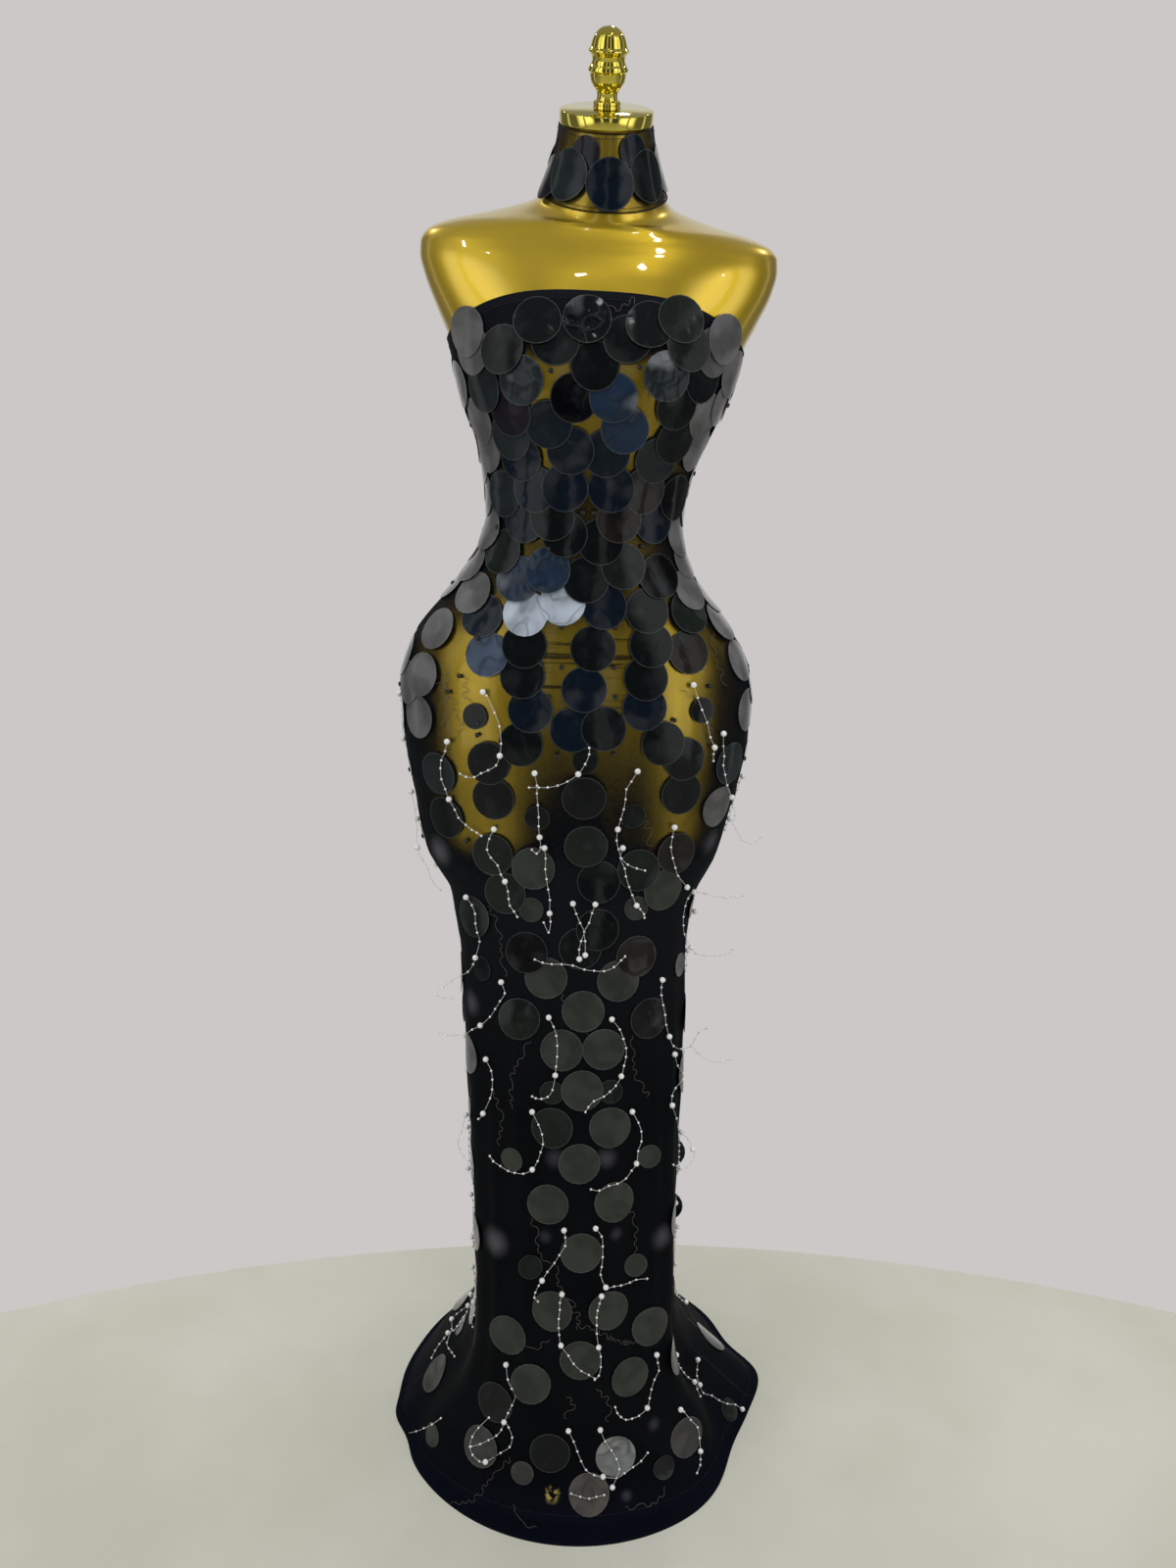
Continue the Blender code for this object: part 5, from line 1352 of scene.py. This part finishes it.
def wriggle_path(start, end):
    """Points and outward ways of a wriggling thread from one place on the cloth to another.

    Its sideways swing is a sine whose phase and height themselves sway, on top of one slow wave,
    and a sine of twice the phase moves it to and fro, which rounds the bends.
    """
    (from_length, from_angle), (to_length, to_angle) = start, end
    ring = float(round_radius(from_length, from_angle))
    run = np.hypot(to_length - from_length, (to_angle - from_angle) * ring)
    waves = max(2.0, run / FANCY_WAVE)
    share = np.linspace(0.0, 1.0, int(waves * 12))
    sway = from_length * 50.0
    phase = math.tau * waves * share
    phase = phase + 1.6 * np.sin(0.31 * phase + sway)
    swing = FANCY_SWING_HIP if height_of(from_length) > HIP_FROM else FANCY_SWING_SKIRT
    swing = swing * (0.7 + 0.3 * np.sin(0.23 * phase + sway)) * np.sin(phase)
    swing = swing + FANCY_WANDER * np.sin(math.tau * 0.9 * share + sway)
    forth = -FANCY_FORTH * np.sin(2.0 * phase)
    down, across = np.array([to_length - from_length, (to_angle - from_angle) * ring]) / max(run, 1e-6)
    length = from_length + (to_length - from_length) * share - swing * across + forth * down
    angle = from_angle + (to_angle - from_angle) * share + (swing * down + forth * across) / ring
    out = cloth_axes(length, angle)[2]
    return cloth(length, angle) + out * FANCY_SEAT, out


def wriggles(finish):
    """Fancy thread: the runs that are seen, and short ones near upright on the hidden sides."""
    ends = [(seen_at(row.px, row.py), seen_at(row.to_px, row.to_py)) for row in WRIGGLES]
    length, angle = scatter_hidden(lambda height: RUN_APART, tries=700, seed=53, top=1.25, bottom=0.12)
    aside = np.random.default_rng(3).uniform(-RUN_ASIDE, RUN_ASIDE, len(length)) / SKIRT_RADIUS
    ends += [((a, b), (a + RUN_LENGTH, b + c)) for a, b, c in zip(length, angle, aside)]
    return tubes("fancy_threads", [wriggle_path(*pair) for pair in ends], FANCY_RADIUS, 4, finish)


# ------------------------------------------------------------------ gown, neck band and sewing
def gown_rows(angle, count):
    """Lengths of a gown panel's rows, closer on the flare, from the dipping top edge to the hem."""
    share = np.linspace(0.0, 1.0, count)[:, None]
    share = share + ROWS_DRAWN_DOWN * np.sin(math.pi * share) * share
    top, level_from = length_at(GOWN_TOP), length_at(DROP_FADES_AT)
    even = top + (LENGTHS[-1] - top) * share + 0.0 * angle
    return even + top_edge_drop(angle) * soft_step((level_from - even) / (level_from - top))


def gown_panel(node, first_degrees, last_degrees, finish):
    """One half of the gown: the creased cloth, closed by an inner face one wall further in.

    Where the cloth lies on the floor, the inner face is straight below the outer one. Both side
    edges are moved half a seam's gap away from the other panel.
    """
    angle = np.radians(np.linspace(first_degrees, last_degrees, PANEL_COLUMNS))[None, :]
    length = gown_rows(angle, PANEL_ROWS)
    angle = angle + 0.0 * length
    outside = cloth(length, angle)
    outside[..., 2] = np.maximum(outside[..., 2], CLOTH_WALL)
    lying = soft_step((UPRIGHT_FROM - outside[..., 2]) / (UPRIGHT_FROM - LYING_BELOW))[..., None]
    below = outside - np.array([0.0, 0.0, CLOTH_WALL])
    inside = (outside - CLOTH_WALL * outward(length, angle)) * (1 - lying) + below * lying
    inside[..., 2] = np.maximum(inside[..., 2], 0.0)
    for face in (outside, inside):
        face[:, [0, -1], 1] += np.sign(np.sin(angle[0, 1])) * SEAM_GAP / 2
    chart = np.stack([angle * CHART_RADIUS, length - length[:1]], axis=-1)
    return worn(closed_wall(node + "_panel", outside, inside, chart, finish), "black_mesh", node)


def band_cloth(length, angle):
    """The cloth under the neck band, drawn up a little towards the band's top edge."""
    points = cloth(length, angle)
    share = (length_at(CHOKER_BOTTOM) - length) / (length_at(CHOKER_BOTTOM) - length_at(CHOKER_TOP))
    points[..., 2] += BAND_RISE * np.clip(share, 0.0, 1.0) ** 2
    return points


def neck_band(finish):
    """The neck band, one strip whose two ends meet behind the neck."""
    half_opening = CHOKER_OPENING / 2 / NECK_RADIUS
    angle = np.linspace(math.pi / 2 + half_opening, math.pi * 2.5 - half_opening, PANEL_COLUMNS)[None, :]
    length = np.linspace(length_at(CHOKER_TOP), length_at(CHOKER_BOTTOM), BAND_ROWS)[:, None] + 0.0 * angle
    angle = angle + 0.0 * length
    outside = band_cloth(length, angle)
    inside = outside - CLOTH_WALL * outward(length, angle)
    chart = np.stack([angle * NECK_RADIUS, BAND_CHART_TOP + length - length[:1]], axis=-1)
    return worn(closed_wall("neck_band", outside, inside, chart, finish), "black_mesh", "choker")


def stitched_line(length, angle, stitch, surface=cloth):
    """Short thread paths along a line on the cloth, one for each stitch.

    A stitch is its length and the space before the next one. Its thread is up in the middle.
    """
    points, out = surface(length, angle), cloth_axes(length, angle)[2]
    along = np.concatenate([[0.0], np.cumsum(np.linalg.norm(np.diff(points, axis=0), axis=1))])
    starts = np.arange(0.0, along[-1] - stitch[0], stitch[0] + stitch[1])
    wanted = starts[:, None] + np.array([0.0, 0.5, 1.0]) * stitch[0]
    rise = STITCH_RISE * np.array([0.2, 1.0, 0.2])[:, None]
    place, way = (np.stack([np.interp(wanted, along, line[:, axis]) for axis in range(3)], axis=-1)
                  for line in (points, out))
    return [(path + lean * rise, lean) for path, lean in zip(place, unit(way))]


def sewing(finish):
    """Stitches: along the top edge, both edges of the neck band, the hem and down both side seams."""
    round_ = np.radians(np.linspace(-180.0, 180.0, 721))
    top = length_at(GOWN_TOP) + top_edge_drop(round_)
    lines = stitched_line(top + TOP_STITCHES_AT, round_, FINE_STITCH)
    lines += stitched_line(0.0 * round_ + LENGTHS[-1] - HEM_TURN_UP, round_, HEM_STITCH)
    neck = round_[3:-3] + math.pi * 1.5
    for length in (length_at(CHOKER_TOP) + BAND_STITCHES_AT, length_at(CHOKER_BOTTOM) - BAND_STITCHES_AT):
        lines += stitched_line(0.0 * neck + length, neck, FINE_STITCH, band_cloth)
    down = np.linspace(length_at(GOWN_TOP) + SIDE_DROP + 0.004, LENGTHS[-1] - 0.006, 500)
    for middle in (0.0, math.pi):
        ring = round_radius(down, middle + 0.0 * down)
        for aside in (-SEAM_STITCHES_AT, SEAM_STITCHES_AT):
            lines += stitched_line(down, middle + aside / ring, SEAM_STITCH)
    return worn(tubes("sewing_stitches", lines, STITCH_RADIUS, 4, finish))


def edge_cords(finish):
    """Rolled edges of the gown's top and of the neck band, and the two side seams' ridges."""
    round_ = np.radians(np.linspace(-180.0, 179.0, 360))
    neck = round_ * 0.996 + math.pi * 1.5
    down = np.linspace(length_at(GOWN_TOP) + SIDE_DROP + 0.002, LENGTHS[-1] - 0.004, 420)
    paths = []
    for surface, length, angle, lift in (
            (cloth, length_at(GOWN_TOP) + top_edge_drop(round_) + EDGE_IN, round_, EDGE_SUNK),
            (band_cloth, length_at(CHOKER_TOP) + EDGE_IN + 0.0 * neck, neck, EDGE_SUNK),
            (band_cloth, length_at(CHOKER_BOTTOM) - EDGE_IN + 0.0 * neck, neck, EDGE_SUNK),
            (cloth, down, 0.0 * down, RIDGE_UP), (cloth, down, math.pi + 0.0 * down, RIDGE_UP)):
        out = cloth_axes(length, angle)[2]
        paths.append((surface(length, angle) + out * lift, out))
    return worn(tubes("rolled_edges", paths, EDGE_RADIUS, 6, finish))


# ------------------------------------------------------------------ dress form, cap and finial
def dress_form(finish):
    """The limbless body: the figure drawn in by the cloth and its air, with a rounded foot.

    Its rows are close on the neck and shoulders, even down to where the foot begins to be drawn in,
    and closer and closer from there. The valley is a bell curve across, pushed in before and behind.
    """
    foot_top = FORM_FOOT[-1].above
    neck = np.linspace(NECK_TOP, SHOULDERS_END + 0.006, 46)
    body = np.linspace(SHOULDERS_END, FORM_UNDERSIDE + foot_top + 0.002, 100)
    foot = FORM_UNDERSIDE + foot_top * np.linspace(1.0, 0.0, 34) ** 1.6
    angle = np.linspace(0.0, math.tau, 176, endpoint=False)[None, :]
    length = length_at(np.concatenate([neck, body, foot]))[:, None] + 0.0 * angle
    angle = angle + 0.0 * length
    rings = figure(length, angle, folds=False) - (CAD_WALL + FORM_CLEAR) * outward(length, angle)
    top = FIGURE[0]
    across, depth = rings[0, :, 0] - top.middle_x, rings[0, :, 1] - top.middle_y
    rings[0, :, 2] = NECK_TOP + top.lean * depth - top.tip * across
    drawn_in, cut = np.array(FORM_FOOT), np.array(VALLEY)
    more = np.interp(rings[..., 2] - FORM_UNDERSIDE, drawn_in[:, 0], drawn_in[:, 1])
    valley = through(cut[:, 0], cut[:, 1], np.clip(rings[..., 2], cut[0, 0], cut[-1, 0]))
    across = (rings[..., 0] - rings[..., 0].mean(axis=1, keepdims=True)) / VALLEY_HALF_WIDTH
    rings[..., 0] -= more * np.cos(angle)
    rings[..., 1] -= (more + valley * np.exp(-across ** 2)) * np.sin(angle)
    rings[-1, :, 2] = FORM_UNDERSIDE
    return worn(skinned("gold_body", rings + SHIFT, finish), "gold_paint", "dress_form")


def turned(name, outline, segments, lift, node, finish, smoothed=1):
    """A solid spun about the neck's slanting axis from an outline, and set on the neck.

    Where it is smoothed, a curve through the outline gives so many points for each of its rows.
    """
    points = np.array(outline)
    if smoothed > 1:
        along = np.concatenate([[0.0], np.cumsum(np.hypot(*np.diff(points, axis=0).T))])
        wanted = np.unique(np.concatenate([along, np.linspace(0.0, along[-1], smoothed * len(points))]))
        points = np.stack([through(along, column, wanted) for column in points.T], axis=1)
    points = points[1:-1][::-1]
    turn = np.linspace(0.0, math.tau, segments, endpoint=False)[None, :]
    rings = np.stack([points[:, 0:1] * np.cos(turn), points[:, 0:1] * np.sin(turn),
                      points[:, 1:2] + 0.0 * turn], axis=-1)
    top = FIGURE[0]
    axis = Vector((top.tip, -top.lean, 1.0)).normalized()
    place = Vector((top.middle_x, top.middle_y, NECK_TOP)) + lift * axis
    tip = np.array(Vector((0, 0, 1)).rotation_difference(axis).to_matrix())
    rings = rings @ tip.T + np.array(place) + SHIFT
    return worn(skinned(name, rings, finish), "polished_brass", node)


# ------------------------------------------------------------------ studio
# Light from round about, as steps from the front (0) round either side to the back (1): its tone,
# and how blue it is.
ROUND_ABOUT = [(place, (tone, tone, tone * blue)) for place, tone, blue in (
    (0.000, 0.05, 1.4), (0.040, 0.05, 1.4), (0.048, 0.60, 1.0), (0.070, 0.60, 1.0), (0.078, 0.05, 1.4),
    (0.160, 0.05, 1.3), (0.200, 1.10, 1.0), (0.290, 1.18, 1.0), (0.296, 0.25, 1.0), (0.318, 0.25, 1.0),
    (0.325, 1.08, 1.0), (0.370, 1.00, 1.0), (0.430, 0.10, 1.1), (0.560, 0.10, 1.1), (0.568, 0.50, 1.0),
    (0.600, 0.50, 1.0), (0.608, 0.10, 1.1), (0.760, 0.11, 1.1), (0.850, 0.44, 0.97))]
OVERHEAD, UNDERFOOT = (0.20, 0.20, 0.21), (0.20, 0.20, 0.19)
SURROUND_STRENGTH = 1.4
BACKDROP = display(203, 200, 199)
FLOOR_RADIUS = 2.6
FLOOR_ASIDE = 0.08           # how far to the right the pale floor's middle lies
FLOOR_BACK = 0.318           # how far behind the middle the pale floor reaches
LAMP_HEIGHT, LAMP_REACH = 3.0, 6.0           # of a spot, and how far off it may hang
LEAST_CLIMB = 0.25           # a reflection that rises less than this is taken to rise this much

# Ceiling lamps, and the pixels where the body shows the glint of a small spot.
Lamp = namedtuple("Lamp", "name place aim size power")
CEILING = [
    Lamp("soft_ceiling", (0.0, 0.2, 3.5), (0.0, 0.0, 0.0), 3.8, 80.0),
    Lamp("ceiling_1", (-1.7, 1.3, 3.3), (-0.85, 0.65, 0.0), 0.16, 3.5),
    Lamp("ceiling_2", (0.2, 1.6, 3.3), (0.1, 0.8, 0.0), 0.16, 3.5),
    Lamp("ceiling_3", (1.7, 1.2, 3.3), (0.85, 0.6, 0.0), 0.16, 3.5),
]
Glint = namedtuple("Glint", "px py")
GLINTS = [Glint(*at) for at in ((589, 278), (655, 271), (473, 250), (496, 256), (665, 239), (740, 280))]


def studio():
    """A round pale floor, soft light from above and both sides, and a few small bright lamps.

    The surroundings are seen as one pale tone. As light they are dark in front and at the sides,
    with a bright stretch between on the left and right, and grey behind and overhead.
    """
    turn = np.linspace(0.0, math.tau, 180, endpoint=False)
    ring = np.stack([FLOOR_ASIDE + FLOOR_RADIUS * np.cos(turn),
                     FLOOR_BACK + FLOOR_RADIUS * (np.sin(turn) - 1.0), 0.0 * turn], axis=1)
    put_mesh("floor", ring, [list(range(len(ring)))], floor_finish())
    world = bpy.data.worlds.new("studio")
    world.use_nodes = True
    bpy.context.scene.world = world
    board = Board(world.node_tree)
    across, away, upward = board.parts(board.add("TexCoord", {}, {}, "Generated"))
    turned_by = board.add("Math", {"operation": "ARCTAN2"}, {0: abs(across), 1: 0.0 - away})
    light = board.add("ValToRGB", {"stops": ROUND_ABOUT}, {"Fac": turned_by * (1 / math.pi)})
    light = board.blend(upward.fade(0.50, 0.70), light, OVERHEAD)
    light = board.blend(upward.fade(-0.25, -0.45), light, UNDERFOOT)
    lit = board.add("Background", {}, {"Color": light, "Strength": SURROUND_STRENGTH})
    seen = board.add("Background", {}, {"Color": (*BACKDROP, 1.0)})
    to_eye = board.add("LightPath", {}, {}, "Is Camera Ray")
    either = board.add("MixShader", {}, {0: to_eye, 1: lit, 2: seen})
    board.put(board.tree.nodes["World Output"].inputs["Surface"], either)
    spots = [Lamp(f"spot_{number + 1}", mirror_place(glint), (0.0, 0.0, 1.3), 0.07, 0.4)
             for number, glint in enumerate(GLINTS)]
    hung = [hang(lamp) for lamp in CEILING + spots]
    hung[0].visible_glossy = False


def mirror_place(glint):
    """Where a small lamp hangs whose reflection in the body is seen at a pixel."""
    found = seen_at(glint.px, glint.py)
    place, out = Vector(cloth(*found)), Vector(cloth_axes(*found)[2])
    back = ray_of(glint.px, glint.py).reflect(out)
    return place + back * min((LAMP_HEIGHT - place.z) / max(back.z, LEAST_CLIMB), LAMP_REACH)


def hang(lamp):
    """A round area light that points at a place."""
    data = bpy.data.lights.new(lamp.name, "AREA")
    data.shape, data.size, data.energy = "DISK", lamp.size, lamp.power
    made = bpy.data.objects.new(lamp.name, data)
    made.location = lamp.place
    made.rotation_mode = "QUATERNION"
    made.rotation_quaternion = (Vector(lamp.aim) - Vector(lamp.place)).to_track_quat("-Z", "Y")
    made.visible_camera = False
    bpy.context.scene.collection.objects.link(made)
    return made


# ------------------------------------------------------------------ the whole thing
mesh_cloth, brass = black_mesh(), polished_brass()
panels = [gown_panel("gown_front", -180, 0, mesh_cloth), gown_panel("gown_back", 0, 180, mesh_cloth)]
band = neck_band(mesh_cloth)
dress_form(gold_lacquer())
turned("mirror_cap", CAP_OUTLINE, 96, SEAM_GAP, "neck_cap", brass)
turned("turned_finial", FINIAL_OUTLINE, 72, CAP_THICK + 2 * SEAM_GAP, "finial", brass, smoothed=5)
for name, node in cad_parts.items():
    if name.startswith(("stand", "leg", "foot")):
        node.data.materials.clear()
        node.data.materials.append(brass)

black_thread = plain_gloss("black_thread", (22, 25, 40), (34, 38, 56), 0.5, 900.0, 0.0002, 0.1)
mesh_edge = plain_gloss("mesh_edge", (10, 10, 14), (18, 18, 22), 0.6, 900.0, 0.0002, 0.0)
white_thread = plain_gloss("silver_thread", (205, 205, 202), (228, 228, 226), 0.35, 900.0, 0.0002, 0.2)
fancy_thread = plain_gloss("fancy_thread", (104, 98, 74), (84, 84, 88), 0.4, 700.0, 0.0002, 0.2)
pearl = plain_gloss("pearl", (248, 247, 243), (253, 253, 251), 0.14, 120.0, 0.0003, 0.8)
jet = plain_gloss("jet_stud", (5, 5, 6), (11, 11, 12), 0.22, 300.0, 0.0002, 0.25)

film, discs = paillettes(paillette_film())
for piece in (film, *pearl_strands(discs, pearl, white_thread), studs(discs, jet), wriggles(fancy_thread)):
    worn(piece)
sewing(black_thread)
edge_cords(mesh_edge)

studio()
bpy.context.view_layer.update()
